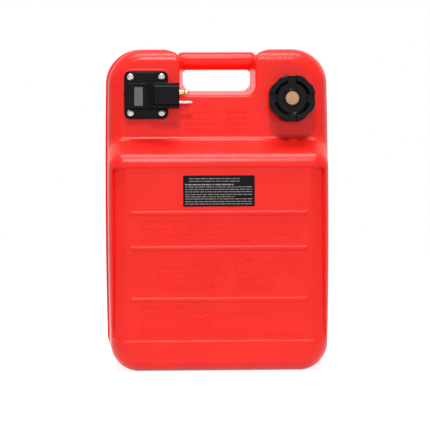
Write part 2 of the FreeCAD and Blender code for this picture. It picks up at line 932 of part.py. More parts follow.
def flange_gasket():
    """The gasket between the gauge plate and the pad on the deck."""
    body = new_body("flange_gasket")
    plate_outline(body, "flange_gasket", as_size(0), S.pad_thick, S.head_gasket_thick)
    middle_hole = disc(body, "gasket_hole_outline", "XY_Plane", 0, 0, S.gauge_hole, GASKET_TOP)
    pocket(body, "gasket_hole", middle_hole)
    screw_pockets(body, "gasket", S.screw_radius + S.screw_hole_gap, GASKET_TOP)
    return on_deck(body, GAUGE_ACROSS, GAUGE_UP)


def screw_pockets(body, name, radius, top, depth=None):
    """Four round pockets at the screws, through everything unless a depth is given."""
    for n, (x, z) in enumerate(screw_places(), start=1):
        outline = disc(body, f"{name}_hole_{n}_outline", "XY_Plane", x, z, radius, top)
        pocket(body, f"{name}_hole_{n}", outline, depth)


def housing(body):
    """The ramped housing over the plate: a full-width base and a narrower raised part."""
    plate_edge = S.plate_wide / 2 - S.plate_edge
    rooted = GASKET_TOP + S.plate_thick / 2
    step = S.block_top - S.block_step_deep
    rise = (S.ramp_end - S.ramp_start) / (S.block_top - S.house_top)
    ramp_at_step = S.ramp_start + rise * (step - S.house_top)
    base_view = [
        (-S.house_left, rooted),
        (plate_edge, rooted),
        (plate_edge, S.block_under),
        (S.block_right, S.block_under),
        (S.block_right, step),
        (ramp_at_step, step),
        (S.ramp_start, S.house_top),
        (-S.house_left, S.house_top),
    ]
    raised_view = [
        (ramp_at_step, step),
        (S.ramp_end, S.block_top),
        (S.block_right, S.block_top),
        (S.block_right, step),
    ]
    for label, view, tall in (
        ("base", base_view, S.house_tall),
        ("raised", raised_view, S.house_tall - S.block_step * 2),
    ):
        side_view = polygon(body, f"housing_{label}_side", "XZ_Plane", view, -S.house_shift)
        feature = pad(body, f"housing_{label}", side_view, tall, both_ways=True)
    half_raised = S.house_tall / 2 - S.block_step
    edges = ((S.house_shift + half_raised).value, (S.house_shift - half_raised).value)
    top = S.block_top.value

    def long_top(edge):
        spot = middle(edge)
        at_side = min(abs(spot.y - level) for level in edges) < NEAR
        return runs_along(edge, Vector(1, 0, 0)) and at_side and abs(spot.z - top) < NEAR

    return rounded(body, "block_chamfer", feature, long_top, S.block_chamfer, "Chamfer")


def gauge_flange():
    """The black moulded head: plate, housing, window, drum pocket, fuel passage and sockets."""
    body = new_body("gauge_flange")
    plate_outline(body, "flange_plate", as_size(0), GASKET_TOP, S.plate_thick)
    housing(body)
    pocket_half = S.drum_radius + S.drum_gap
    left = S.window_x - S.drum_wide / 2 - S.pin_proud
    right = S.window_x + S.drum_wide / 2 + S.pin_proud
    drum_room = polygon(
        body,
        "drum_room_outline",
        "XY_Plane",
        oblong(left, right, S.window_z - pocket_half, S.window_z + pocket_half),
        DRUM_CEILING,
    )
    pocket(body, "drum_room", drum_room)
    seat_deep = S.house_top - LENS_FLOOR
    for label, ledge, depth in (("seat", as_size(0), seat_deep), ("light", S.window_ledge, None)):
        half_wide, half_tall = S.window_wide / 2 - ledge, S.window_tall / 2 - ledge
        outline = polygon(
            body,
            f"window_{label}_outline",
            "XY_Plane",
            oblong(
                S.window_x - half_wide,
                S.window_x + half_wide,
                S.window_z - half_tall,
                S.window_z + half_tall,
            ),
            S.house_top,
        )
        pocket(body, f"window_{label}", outline, depth)
    lug_low = S.drum_up - S.lug_drop
    for label, outer, inner in (
        ("left", left - S.lug_thick, left),
        ("right", right, right + S.lug_thick),
    ):
        outline = polygon(
            body,
            f"lug_{label}_outline",
            "XY_Plane",
            oblong(outer, inner, S.window_z - S.lug_half, S.window_z + S.lug_half),
            lug_low,
        )
        pad(body, f"lug_{label}", outline, GASKET_TOP + S.plate_thick / 2 - lug_low)
    bore = disc(body, "pin_bore_outline", "YZ_Plane", S.window_z, S.drum_up, S.pin_radius + S.pin_gap)
    pocket(body, "pin_bore", bore, S.plate_wide, both_ways=True)
    screw_pockets(body, "screw", S.screw_radius + S.screw_hole_gap, PLATE_TOP)
    screw_pockets(body, "seat", S.screw_seat_radius, PLATE_TOP, S.screw_seat_deep)
    socket_low = GASKET_TOP - S.socket_long
    socket = disc(body, "socket_outline", "XY_Plane", S.tube_x, S.tube_z, S.socket_radius, socket_low)
    pad(body, "socket", socket, S.socket_long + S.plate_thick / 2)
    for label, radius, top in (
        ("tube_bore", S.tube_radius + S.tube_gap, GASKET_TOP),
        ("riser", S.tube_bore, S.outlet_up + S.passage_bore + S.riser_end),
    ):
        outline = disc(body, f"{label}_outline", "XY_Plane", S.tube_x, S.tube_z, radius, top)
        pocket(body, label, outline)
    for label, radius, height, deep in (
        ("passage", S.passage_bore, S.tube_z, S.block_right - S.tube_x),
        ("outlet_socket", S.outlet_root_radius + S.fit_gap, S.tube_z, S.outlet_root),
        ("guide_socket", S.guide_root_radius + S.fit_gap, S.guide_z, S.guide_root),
    ):
        outline = disc(body, f"{label}_outline", "YZ_Plane", height, S.outlet_up, radius, S.block_right)
        pocket(body, label, outline, deep)
    return on_deck(body, GAUGE_ACROSS, GAUGE_UP)


def flange_screws():
    """Four pan-head screws with a cross recess."""
    screws = []
    for n, (x, z) in enumerate(screw_places(), start=1):
        name = f"flange_screw_{n}"
        top = SCREW_SEAT + S.screw_head_tall
        tip = SCREW_SEAT - S.screw_long
        body = turned(
            name,
            [
                (0, tip),
                (S.screw_radius, tip),
                (S.screw_radius, SCREW_SEAT),
                (S.screw_head_radius, SCREW_SEAT),
                (S.screw_head_radius, top),
                (0, top),
            ],
        )
        rounded(
            body,
            f"{name}_dome",
            body.Tip,
            lambda e, top=top: is_ring(e, S.screw_head_radius) and abs(middle(e).z - top.value) < NEAR,
            S.screw_head_round,
        )
        long_half, short_half = S.cross_long / 2, S.cross_wide / 2
        for label, a, b in (("across", long_half, short_half), ("along", short_half, long_half)):
            outline = polygon(body, f"{name}_{label}_outline", "XY_Plane", oblong(-a, a, -b, b), top)
            pocket(body, f"{name}_{label}", outline, S.cross_deep)
        screws.append(on_deck(body, GAUGE_ACROSS + x, GAUGE_UP + z))
    return fuse("flange_screws", screws)


def gauge_lens():
    """The clear window, let into the housing."""
    half_wide, half_tall = S.window_wide / 2 - S.lens_gap, S.window_tall / 2 - S.lens_gap
    low = DECK - LENS_FLOOR
    centre = PIVOT_ACROSS
    return block(
        "gauge_lens",
        (centre - half_wide, centre + half_wide),
        (low - S.lens_thick, low),
        (PIVOT_UP - half_tall, PIVOT_UP + half_tall),
    )


def on_pivot(thing, across, turn=0):
    """Puts a turned body on the pivot's axis, its own Z axis to the right."""
    lean = FreeCAD.Rotation(Vector(1, 0, 0), turn)
    return place(thing, PIVOT_ACROSS + across, DECK - S.drum_up, PIVOT_UP, lean.multiply(RIGHTWARD))


def gauge_drum():
    """The drum that shows the level, with a hollow on its right side and a socket for the arm."""
    half = S.drum_wide / 2
    bore = S.pin_radius + S.pin_gap
    web = half - S.drum_recess
    rim = S.drum_radius - S.drum_rim
    body = on_pivot(
        turned(
            "drum_blank",
            [
                (bore, -half),
                (S.drum_radius, -half),
                (S.drum_radius, half),
                (rim, half),
                (rim, web),
                (S.drum_hub, web),
                (S.drum_hub, half),
                (bore, half),
            ],
        ),
        0,
    )
    socket = arm_piece("arm_socket", S.arm_radius + S.fit_gap, S.arm_root, S.drum_radius + S.drum_rim)
    return cut("gauge_drum", body, socket)


def arm_piece(name, radius, start, end):
    """A cylinder along the float arm, between two distances from the pivot."""
    lean = FreeCAD.Rotation(Vector(1, 0, 0), S.arm_lean.value)
    downward = FreeCAD.Rotation(Vector(1, 0, 0), 180)
    start = as_size(start)
    back = start * Size(math.sin(math.radians(S.arm_lean.value)), "sin(Sizes.arm_lean * 1 deg)")
    down = start * Size(math.cos(math.radians(S.arm_lean.value)), "cos(Sizes.arm_lean * 1 deg)")
    return cylinder(
        name,
        radius,
        as_size(end) - start,
        PIVOT_ACROSS + S.arm_shift,
        DECK - S.drum_up + back,
        PIVOT_UP - down,
        lean.multiply(downward),
    )


def float_arm():
    """The straight wire from the drum to the float."""
    return arm_piece("float_arm", S.arm_radius, S.arm_root, S.arm_long + S.float_radius + S.arm_tail)


def dial_scale():
    """The printed band round the part of the drum that the window shows."""
    half = S.scale_wide / 2
    outer = S.drum_radius + S.scale_thick
    band = ring_profile(S.drum_radius, outer, -half, half)
    body = turned("dial_scale", band, S.scale_sweep, backward=True)
    return on_pivot(body, 0, -S.scale_start.value)


def pivot_pin():
    half = S.drum_wide / 2 + S.pin_proud + S.lug_thick + S.pin_proud
    pin = turned("pivot_pin", [(0, -half), (S.pin_radius, -half), (S.pin_radius, half), (0, half)])
    return on_pivot(pin, 0)


def float_body():
    """The float, crossways on the end of the arm."""
    half = S.float_long / 2
    radius = S.float_radius
    body = turned("float_blank", [(0, -half), (radius, -half), (radius, half), (0, half)])
    rounded(body, "float_ends", body.Tip, lambda e: is_ring(e, S.float_radius), S.float_round)
    reach, lean = S.arm_long, math.radians(S.arm_lean.value)
    back = reach * Size(math.sin(lean), "sin(Sizes.arm_lean * 1 deg)")
    down = reach * Size(math.cos(lean), "cos(Sizes.arm_lean * 1 deg)")
    place(body, PIVOT_ACROSS + S.arm_shift, DECK - S.drum_up + back, PIVOT_UP - down, RIGHTWARD)
    half_bore = S.float_radius + S.arm_tail
    bore = arm_piece("float_bore", S.arm_radius + S.fit_gap, reach - half_bore, reach + half_bore)
    return cut("float", body, bore)


def float_clips():
    """Two push-on clips, one each side of the float."""
    near = S.arm_long - S.float_radius - S.clip_thick
    far = S.arm_long + S.float_radius
    discs, bores = [], []
    for n, start in enumerate((near, far), start=1):
        discs.append(arm_piece(f"clip_disc_{n}", S.clip_radius, start, start + S.clip_thick))
        bores.append(
            arm_piece(
                f"clip_bore_{n}", S.arm_radius + S.fit_gap, start - NEAR, start + S.clip_thick + NEAR
            )
        )
    return cut("float_clips", fuse("clip_discs", discs), fuse("clip_bores", bores))


def tube_end():
    """How far in from the deck the strainer ends."""
    return S.half_depth - DECK - S.tube_floor_gap


def in_tank(thing, across, up):
    """Places a turned body on the pick-up tube's line, its own Z axis pointing into the tank."""
    return place(thing, across, DECK, up, INWARD)


def pickup_tube():
    """The tube that draws from the low side of the tank as it lies on its back."""
    body = turned(
        "pickup_tube",
        ring_profile(S.tube_bore, S.tube_radius, -GASKET_TOP, tube_end() - S.strainer_long + S.strainer_lap),
    )
    return in_tank(body, GAUGE_ACROSS + S.tube_x, GAUGE_UP + S.tube_z)


def pickup_strainer():
    """The slotted cup on the tube's end."""
    end = tube_end()
    start = end - S.strainer_long
    inner = S.strainer_radius - S.strainer_wall
    collar = S.tube_radius + S.tube_gap
    body = turned(
        "pickup_strainer",
        [
            (collar, start),
            (S.strainer_radius, start),
            (S.strainer_radius, end),
            (0, end),
            (0, end - S.strainer_wall),
            (inner, end - S.strainer_wall),
            (inner, start + S.strainer_wall),
            (collar, start + S.strainer_wall),
        ],
    )
    half = S.strainer_slot / 2
    slot = polygon(
        body,
        "strainer_slot_outline",
        "XZ_Plane",
        oblong(-half, half, start + S.strainer_wall * 2, end - S.strainer_wall * 2),
    )
    cut_one = pocket(body, "strainer_slot", slot, S.strainer_radius * 2)
    polar(body, "strainer_slots", cut_one, S.strainer_slots)
    return in_tank(body, GAUGE_ACROSS + S.tube_x, GAUGE_UP + S.tube_z)


def on_block(thing, height):
    """Puts a turned body in the connector block, its own Z axis to the right from the block's face."""
    return place(
        thing, GAUGE_ACROSS + S.block_right, DECK - S.outlet_up, GAUGE_UP + height, RIGHTWARD
    )


def outlet_nipple():
    """The brass fuel nipple, with a groove for its ring."""
    groove_low = S.ring_place
    groove_high = groove_low + S.ring_section
    groove = S.outlet_radius - S.ring_section
    nose = S.outlet_nose
    body = turned(
        "outlet_nipple",
        [
            (S.outlet_bore, -S.outlet_root),
            (S.outlet_root_radius, -S.outlet_root),
            (S.outlet_root_radius, 0),
            (S.outlet_radius, 0),
            (S.outlet_radius, groove_low),
            (groove, groove_low),
            (groove, groove_high),
            (S.outlet_radius, groove_high),
            (S.outlet_radius, S.outlet_proud - nose),
            (S.outlet_radius - nose, S.outlet_proud),
            (S.outlet_bore, S.outlet_proud),
        ],
    )
    return on_block(body, S.tube_z)


def outlet_o_ring():
    groove = S.outlet_radius - S.ring_section
    low = S.ring_place
    body = turned("outlet_o_ring", ring_profile(groove, S.outlet_radius, low, low + S.ring_section))
    return on_block(body, S.tube_z)


def guide_pin():
    """The longer steel pin that guides the connector on, with a bullet nose."""
    shoulder = S.guide_proud - S.guide_nose
    body = turned(
        "guide_pin",
        [
            (0, -S.guide_root),
            (S.guide_root_radius, -S.guide_root),
            (S.guide_root_radius, 0),
            (S.guide_radius, 0),
            (S.guide_radius, shoulder),
            (S.guide_tip, S.guide_proud),
            (0, S.guide_proud),
        ],
    )
    return on_block(body, S.guide_z)


SUBPARTS = {
    "tank_shell": tank_shell,
    "threaded_inserts": threaded_inserts,
    "rating_label": rating_label,
    "cap_shell": cap_shell,
    "cap_inner_plug": cap_inner_plug,
    "cap_gasket": cap_gasket,
    "vent_bush": vent_bush,
    "vent_screw": vent_screw,
    "vent_seal": vent_seal,
    "gauge_flange": gauge_flange,
    "flange_gasket": flange_gasket,
    "flange_screws": flange_screws,
    "gauge_lens": gauge_lens,
    "gauge_drum": gauge_drum,
    "dial_scale": dial_scale,
    "pivot_pin": pivot_pin,
    "float_arm": float_arm,
    "float": float_body,
    "float_clips": float_clips,
    "pickup_tube": pickup_tube,
    "pickup_strainer": pickup_strainer,
    "outlet_nipple": outlet_nipple,
    "outlet_o_ring": outlet_o_ring,
    "guide_pin": guide_pin,
}

made = {}
for label, build in SUBPARTS.items():
    made[label] = build()
    made[label].Label = label
doc.recompute()

for thing in doc.Objects:
    if "Invalid" in thing.State or "Error" in thing.State:
        raise RuntimeError(f"{thing.Name} failed: {thing.State}")
for label, thing in made.items():
    if thing.Shape.isNull() or not thing.Shape.isValid():
        raise RuntimeError(f"{label} has no sound shape")

os.makedirs("parts", exist_ok=True)
for label, thing in made.items():
    thing.Shape.exportStep(os.path.join("parts", f"{label}.step"))
    box = thing.Shape.BoundBox
    print(label, len(thing.Shape.Solids), "solids", round(thing.Shape.Volume), "mm3", box)
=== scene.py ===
"""The looks of a portable outboard fuel tank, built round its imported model.

Lengths are millimetres in the part's own frame: X to the right, Y to the back, Z up from the base.
Only the studio is in metres. A moulded piece is a solid described by a distance, negative inside, and its
skin is meshed from that. A turned piece is a profile spun about its axle.
"""

import logging
import math
import random
from collections.abc import Callable, Sequence
from dataclasses import dataclass
from enum import Enum

import bpy
import numpy as np
from mathutils import Matrix, Quaternion, Vector

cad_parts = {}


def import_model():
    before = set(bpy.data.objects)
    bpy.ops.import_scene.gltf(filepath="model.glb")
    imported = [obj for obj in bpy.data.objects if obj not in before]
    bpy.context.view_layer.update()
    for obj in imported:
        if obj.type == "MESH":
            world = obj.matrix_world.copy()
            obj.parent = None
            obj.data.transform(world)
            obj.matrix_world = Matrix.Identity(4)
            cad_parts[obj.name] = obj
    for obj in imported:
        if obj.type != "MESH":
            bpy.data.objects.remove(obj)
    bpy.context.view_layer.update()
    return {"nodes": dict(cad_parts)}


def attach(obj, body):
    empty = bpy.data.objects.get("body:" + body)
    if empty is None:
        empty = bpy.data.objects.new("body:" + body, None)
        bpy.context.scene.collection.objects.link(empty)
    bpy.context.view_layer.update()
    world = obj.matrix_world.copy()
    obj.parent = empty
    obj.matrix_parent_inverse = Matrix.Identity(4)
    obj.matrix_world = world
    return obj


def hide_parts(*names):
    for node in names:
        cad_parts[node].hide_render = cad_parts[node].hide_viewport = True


LOG = logging.getLogger("tank")
MM = 0.001
FULL_TURN = 2 * math.pi
DECK = -70.0
PANEL_FACE = -112.0
CAP_AT = (109.0, 400.0)
GAUGE_AT = (-106.0, 407.0)

Array = np.ndarray
Distance = Callable[[Array, Array, Array], Array]
Pair = tuple[float, float]
Spot = Tint = tuple[float, float, float]
Tree = bpy.types.NodeTree
Socket = bpy.types.NodeSocket
Piece = bpy.types.Object


class Body(Enum):
    """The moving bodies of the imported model."""

    TANK = "tank"
    CAP = "cap"
    VENT = "vent"


class Slot(Enum):
    """The material slots of the record."""

    TANK_RED = "tank_red"
    CAP_BLACK = "cap_black"
    HEAD_BLACK = "head_black"
    VALVE_BRASS = "valve_brass"
    PIN_STEEL = "pin_steel"
    SCREW_STEEL = "screw_steel"
    WINDOW_CLEAR = "window_clear"
    LABEL_BLACK = "label_black"


def feed(tree: Tree, target: Socket, given: Socket | float | Sequence[float]) -> None:
    """Sets an input to a plain value or links it to another node's output.

    Args:
        tree: the nodes.
        target: the input.
        given: the value or the output.
    """
    if isinstance(given, Socket):
        tree.links.new(given, target)
    else:
        target.default_value = given


def add_node(tree: Tree, kind: str, *first: Socket | float, **named: Socket | float) -> bpy.types.Node:
    """Adds a shader node and feeds its inputs.

    Args:
        tree: the nodes to add to.
        kind: which node, as Blender names it after "ShaderNode".
        first: what its first inputs get, in order.
        named: what other inputs get, named with an underscore for each space.

    Returns:
        The new node.
    """
    node = tree.nodes.new("ShaderNode" + kind)
    for target, given in zip(node.inputs, first):
        feed(tree, target, given)
    for name, given in named.items():
        feed(tree, node.inputs[name.replace("_", " ")], given)
    return node


def math_node(tree: Tree, operation: str, a: Socket | float, b: Socket | float) -> Socket:
    """Works one value out of two and hands it out.

    Args:
        tree: the nodes to add to.
        operation: what is done with them.
        a: the first value.
        b: the second value.

    Returns:
        The output that holds the result.
    """
    node = add_node(tree, "Math", a, b)
    node.operation = operation
    return node.outputs["Value"]


def clear_tree(owner: bpy.types.World | bpy.types.Material) -> Tree:
    """Empties the nodes of a world or a material.

    Args:
        owner: the world or the material.

    Returns:
        Its empty nodes.
    """
    owner.use_nodes = True
    owner.node_tree.nodes.clear()
    return owner.node_tree


@dataclass(frozen=True)
class Finish:
    """A procedural finish: colour that varies, roughness that varies and a relief of two sizes of grain."""

    name: str
    color: Tint
    dark: Tint
    roughness: float
    spread: float = 0.05
    cloud: float = 30.0
    grain: float = 0.8
    relief: float = 0.02
    waves: float = 6.0
    swell: float = 0.0
    metallic: float = 0.0
    specular: float = 0.5

    def noise(self, tree: Tree, size: float, detail: float) -> Socket:
        """A noise in the piece's own coordinates, its blotches of about the given size in millimetres."""
        place = add_node(tree, "TexCoord").outputs["Object"]
        return add_node(tree, "TexNoise", place, Scale=1.0 / (size * MM), Detail=detail).outputs["Fac"]

    def normal(self, tree: Tree) -> Socket:
        """Makes the normal of fine grain laid over a broader swell.

        Args:
            tree: the nodes to add to.

        Returns:
            The output that holds the normal.
        """
        grain = self.noise(tree, self.grain, 2.0)
        fine = add_node(tree, "Bump", Strength=1.0, Distance=self.relief * MM, Height=grain)
        if self.swell > 0:
            waves = self.noise(tree, self.waves, 1.0)
            broad = add_node(tree, "Bump", Strength=1.0, Distance=self.swell * MM, Height=waves)
            feed(tree, fine.inputs["Normal"], broad.outputs["Normal"])
        return fine.outputs["Normal"]

    def material(self) -> bpy.types.Material:
        """Builds the finish once and hands the same material out after that.

        Returns:
            The material.
        """
        ready = bpy.data.materials.get(self.name)
        if ready is not None:
            return ready
        made = bpy.data.materials.new(self.name)
        made.use_nodes = True
        tree = made.node_tree
        ramp = add_node(tree, "ValToRGB", self.noise(tree, self.cloud, 4.0))
        for stop, place, tint in zip(ramp.color_ramp.elements, (0.35, 0.65), (self.dark, self.color)):
            stop.position, stop.color = place, (*tint, 1.0)
        low, high = self.roughness - self.spread, self.roughness + self.spread
        patches = self.noise(tree, self.cloud / 3, 3.0)
        rough = add_node(tree, "MapRange", patches, To_Min=low, To_Max=high)
        for name, given in (
            ("Metallic", self.metallic),
            ("Specular IOR Level", self.specular),
            ("Base Color", ramp.outputs["Color"]),
            ("Roughness", rough.outputs["Result"]),
            ("Normal", self.normal(tree)),
        ):
            feed(tree, tree.nodes["Principled BSDF"].inputs[name], given)
        return made


TANK_SKIN = Finish(
    "moulded_red",
    (0.96, 0.020, 0.012),
    (0.92, 0.017, 0.011),
    roughness=0.30,
    spread=0.03,
    cloud=60.0,
    grain=1.3,
    relief=0.015,
    waves=2.8,
    swell=0.19,
    specular=0.26,
)
BLACK, DEEP_BLACK = (0.003, 0.002, 0.003), (0.002, 0.002, 0.003)
CAP_PLASTIC = Finish("cap_plastic", BLACK, DEEP_BLACK, 0.20, 0.04, 14.0, 0.5, 0.010, specular=0.10)
HEAD_PLASTIC = Finish("head_plastic", BLACK, DEEP_BLACK, 0.22, 0.04, 16.0, 0.6, 0.010, specular=0.085)
BRASS = Finish(
    "bright_brass", (0.62, 0.40, 0.14), (0.48, 0.29, 0.09), 0.27, 0.08, 3.0, 0.3, 0.008, metallic=1.0
)
CAST_BRASS = Finish(
    "dulled_brass", (0.56, 0.33, 0.18), (0.34, 0.19, 0.09), 0.60, 0.10, 1.6, 0.7, 0.05, metallic=0.3,
    specular=0.3,
)
PIN_METAL = Finish(
    "pin_metal", (0.46, 0.46, 0.48), (0.36, 0.36, 0.38), 0.22, 0.06, 4.0, 0.25, 0.005, metallic=1.0
)
SCREW_METAL = Finish(
    "screw_metal", (0.60, 0.57, 0.55), (0.44, 0.42, 0.41), 0.28, 0.07, 2.0, 0.3, 0.008, metallic=1.0
)
SMOKED = Finish("smoked_window", (0.115, 0.106, 0.110), (0.10, 0.094, 0.098), 0.42, 0.04, 8.0, 0.5, 0.01)
LABEL_FILM = Finish(
    "label_film", (0.005, 0.004, 0.005), (0.006, 0.006, 0.006), 0.36, 0.04, 20.0, 0.9, 0.006, specular=0.08
)
LABEL_PRINT = Finish("label_print", (0.40, 0.36, 0.35), (0.32, 0.29, 0.29), 0.45, 0.04, 6.0, 0.6, 0.004)
RUBBER = Finish("gasket_rubber", (0.020, 0.019, 0.018), (0.014, 0.013, 0.013), 0.70, 0.08, 5.0, 0.4, 0.03)
RING_RUBBER = Finish("ring_rubber", (0.30, 0.16, 0.06), (0.24, 0.12, 0.045), 0.45, 0.06, 3.0, 0.3, 0.01)
LINER = Finish("liner_plastic", (0.78, 0.76, 0.70), (0.72, 0.70, 0.64), 0.42, 0.05, 9.0, 0.6, 0.015)
DRUM = Finish("drum_plastic", (0.20, 0.20, 0.21), (0.17, 0.17, 0.18), 0.45, 0.05, 8.0, 0.5, 0.015)
PRINT = Finish("scale_print", (0.62, 0.60, 0.56), (0.56, 0.54, 0.50), 0.40, 0.05, 7.0, 0.5, 0.008)
FOAM = Finish("float_foam", (0.055, 0.050, 0.046), (0.035, 0.032, 0.030), 0.88, 0.06, 2.0, 0.7, 0.16)
TUBE = Finish("tube_plastic", (0.66, 0.65, 0.60), (0.60, 0.59, 0.54), 0.40, 0.05, 10.0, 0.6, 0.012)

NODE_FINISHES: dict[str, Finish] = {
    "threaded_inserts": BRASS,
    "cap_inner_plug": LINER,
    "cap_gasket": RUBBER,
    "vent_bush": BRASS,
    "vent_seal": RUBBER,
    "flange_gasket": RUBBER,
    "gauge_drum": DRUM,
    "dial_scale": PRINT,
    "pivot_pin": PIN_METAL,
    "float_arm": PIN_METAL,
    "float": FOAM,
    "float_clips": PIN_METAL,
    "pickup_tube": TUBE,
    "pickup_strainer": TUBE,
    "outlet_o_ring": RING_RUBBER,
}


def rounded_cut(a: Array, b: Array, radius: float | Array) -> Array:
    """What two solids share, with the edge between them rounded to a radius."""
    corner = np.hypot(np.maximum(a + radius, 0), np.maximum(b + radius, 0))
    return np.minimum(np.maximum(a, b), -radius) + corner


def filleted_join(a: Array, b: Array, radius: float) -> Array:
    """Two solids as one, with the inner corner between them filled to a radius."""
    corner = np.hypot(np.maximum(radius - a, 0), np.maximum(radius - b, 0))
    return np.maximum(np.minimum(a, b), radius) - corner


def soft_cut(a: Array, b: Array, reach: float) -> Array:
    """What two solids share, with their edge eased over a reach, whatever the angle between them."""
    near = np.maximum(reach - np.abs(a - b), 0) / reach
    return np.maximum(a, b) + near * near * reach / 4


def rounded_box(
    u: Array, v: Array, half_u: float | Array, half_v: float | Array, radius: float | Array
) -> Array:
    """Distance to a rectangle with round corners, in its own plane.

    Args:
        u, v: where, from its middle.
        half_u, half_v: half its width and height.
        radius: of its corners.

    Returns:
        The distance, negative inside.
    """
    across, along = np.abs(u) - half_u + radius, np.abs(v) - half_v + radius
    outside = np.hypot(np.maximum(across, 0), np.maximum(along, 0))
    return outside + np.minimum(np.maximum(across, along), 0) - radius


def layer(value: Array, low: float, high: float) -> Array:
    """Distance to what lies between two levels."""
    return np.maximum(low - value, value - high)


def rounded_wedge(a: Array, b: Array, cosine: float, radius: float) -> Array:
    """What two half spaces share, with a true round of a radius on their edge.

    Args:
        a: distance to the first plane.
        b: distance to the second plane.
        cosine: of the angle between the planes' normals.
        radius: of the round.

    Returns:
        The distance, negative inside.
    """
    a, b = a + radius, b + radius
    tip = np.sqrt(np.maximum(a * a + b * b - 2 * a * b * cosine, 0) / (1 - cosine * cosine))
    return np.where(b - a * cosine <= 0, a, np.where(a - b * cosine <= 0, b, tip)) - radius


def eased(value: Array, start: float, end: float) -> Array:
    """A smooth step from 0 at the start to 1 at the end."""
    t = np.clip((value - start) / (end - start), 0, 1)
    return t * t * (3 - 2 * t)


SPACING_GROWTH = 0.3
PULL_ROUNDS = 4
LEAST_STEEPNESS = 0.3


@dataclass(frozen=True)
class Closer:
    """A stretch of an axis where the grid lines stand closer together."""

    at: float
    reach: float
    step: float


def grid_lines(low: float, high: float, step: float, closer: Sequence[Closer] = ()) -> Array:
    """Lays grid lines along one axis, with the spacing growing away from each closer stretch.

    Args:
        low: first line.
        high: the lines run at least this far.
        step: the widest spacing.
        closer: stretches with finer spacing.

    Returns:
        The lines' places.
    """
    lines = [low]
    while lines[-1] < high:
        here = lines[-1]
        gaps = [c.step + SPACING_GROWTH * max(0.0, abs(here - c.at) - c.reach) for c in closer]
        lines.append(here + min([step, *gaps]))
    return np.array(lines)


def even_lines(middle: float, reach: float, step: float) -> Array:
    """Lays evenly spaced grid lines out to a reach on each side of a middle."""
    return grid_lines(middle - reach, middle + reach, step)


def both_sides(middle: float, half: float, reach: float, step: float) -> list[Closer]:
    """The two closer stretches that lie half a width to each side of a middle."""
    return [Closer(middle + side * half, reach, step) for side in (-1, 1)]


def slope_of(distance: Distance, points: Array) -> Array:
    """Takes the gradient of a distance at some points, by small steps to each side.

    Args:
        distance: the solid.
        points: where.

    Returns:
        The gradient at each point.
    """
    step = 0.02
    columns = []
    for axis in range(3):
        shift = np.zeros(3)
        shift[axis] = step
        ahead, behind = points + shift, points - shift
        columns.append((distance(*ahead.T) - distance(*behind.T)) / (2 * step))
    return np.stack(columns, axis=1)


def mesh_skin(distance: Distance, lines: Sequence[Array]) -> tuple[Array, Array, Array]:
    """Meshes the skin of a solid with one vertex for each grid cell that the skin passes through.

    Args:
        distance: the solid, negative inside.
        lines: the grid's lines along X, Y and Z.

    Returns:
        The vertices in millimetres, the quads and the skin's normals at the vertices.
    """
    xs, ys, zs = lines
    grid = distance(xs[:, None, None], ys[None, :, None], zs[None, None, :])
    grid = np.broadcast_to(grid, (len(xs), len(ys), len(zs)))
    inside = grid < 0
    cells = tuple(n - 1 for n in grid.shape)
    hits, quads = [], []
    for axis in range(3):
        second, third = (axis + 1) % 3, (axis + 2) % 3
        start = inside.take(range(cells[axis]), axis)
        end = inside.take(range(1, cells[axis] + 1), axis)
        spots = np.stack(np.nonzero(start != end), axis=1)
        ahead = spots.copy()
        ahead[:, axis] += 1
        low, high = grid[tuple(spots.T)], grid[tuple(ahead.T)]
        share = low / (low - high)
        places = np.stack([lines[k][spots[:, k]] for k in range(3)], axis=1)
        span = lines[axis][ahead[:, axis]] - lines[axis][spots[:, axis]]
        places[:, axis] += share * span
        corners = []
        for back_second, back_third in ((1, 1), (0, 1), (0, 0), (1, 0)):
            cell = spots.copy()
            cell[:, second] -= back_second
            cell[:, third] -= back_third
            corners.append(np.ravel_multi_index(tuple(cell.T), cells))
        outward = start[tuple(spots.T)]
        ring = np.stack(corners, axis=1)
        quads.append(np.where(outward[:, None], ring, ring[:, ::-1]))
        hits.extend((corner, places) for corner in corners)
    keys = np.concatenate([corner for corner, _ in hits])
    where = np.concatenate([places for _, places in hits])
    used, order = np.unique(keys, return_inverse=True)
    count = np.bincount(order)
    points = np.stack([np.bincount(order, weights=where[:, k]) / count for k in range(3)], axis=1)
    faces = np.searchsorted(used, np.concatenate(quads))
    for _ in range(PULL_ROUNDS):
        slope = slope_of(distance, points)
        steepness = np.maximum((slope**2).sum(axis=1), LEAST_STEEPNESS)
        move = np.clip(distance(*points.T) / steepness, -1.0, 1.0)
        points = points - slope * move[:, None]
    normals = slope_of(distance, points)
    normals /= np.maximum(np.linalg.norm(normals, axis=1), 1e-9)[:, None]
    return points, faces, normals


def put(name: str, data: bpy.types.ID) -> Piece:
    """Puts a new object with the given data in the scene.

    Args:
        name: the object's name.
        data: its mesh, lamp or camera.

    Returns:
        The object.
    """
    made = bpy.data.objects.new(name, data)
    bpy.context.scene.collection.objects.link(made)
    return made


def make_piece(name: str, points: Array, faces: Sequence, normals: Array | None = None) -> Piece:
    """Makes a smooth-shaded object from vertices in millimetres.

    Args:
        name: the piece's name.
        points: the vertices.
        faces: the vertex numbers of each face.
        normals: the surface's normals at the vertices, where they are known.

    Returns:
        The new object, already in the scene.
    """
    mesh = bpy.data.meshes.new(name)
    faces = faces.tolist() if isinstance(faces, np.ndarray) else faces
    mesh.from_pydata((np.asarray(points) * MM).tolist(), [], faces)
    mesh.shade_smooth()
    if normals is not None:
        mesh.normals_split_custom_set_from_vertices(normals.tolist())
    mesh.update()
    return put(name, mesh)


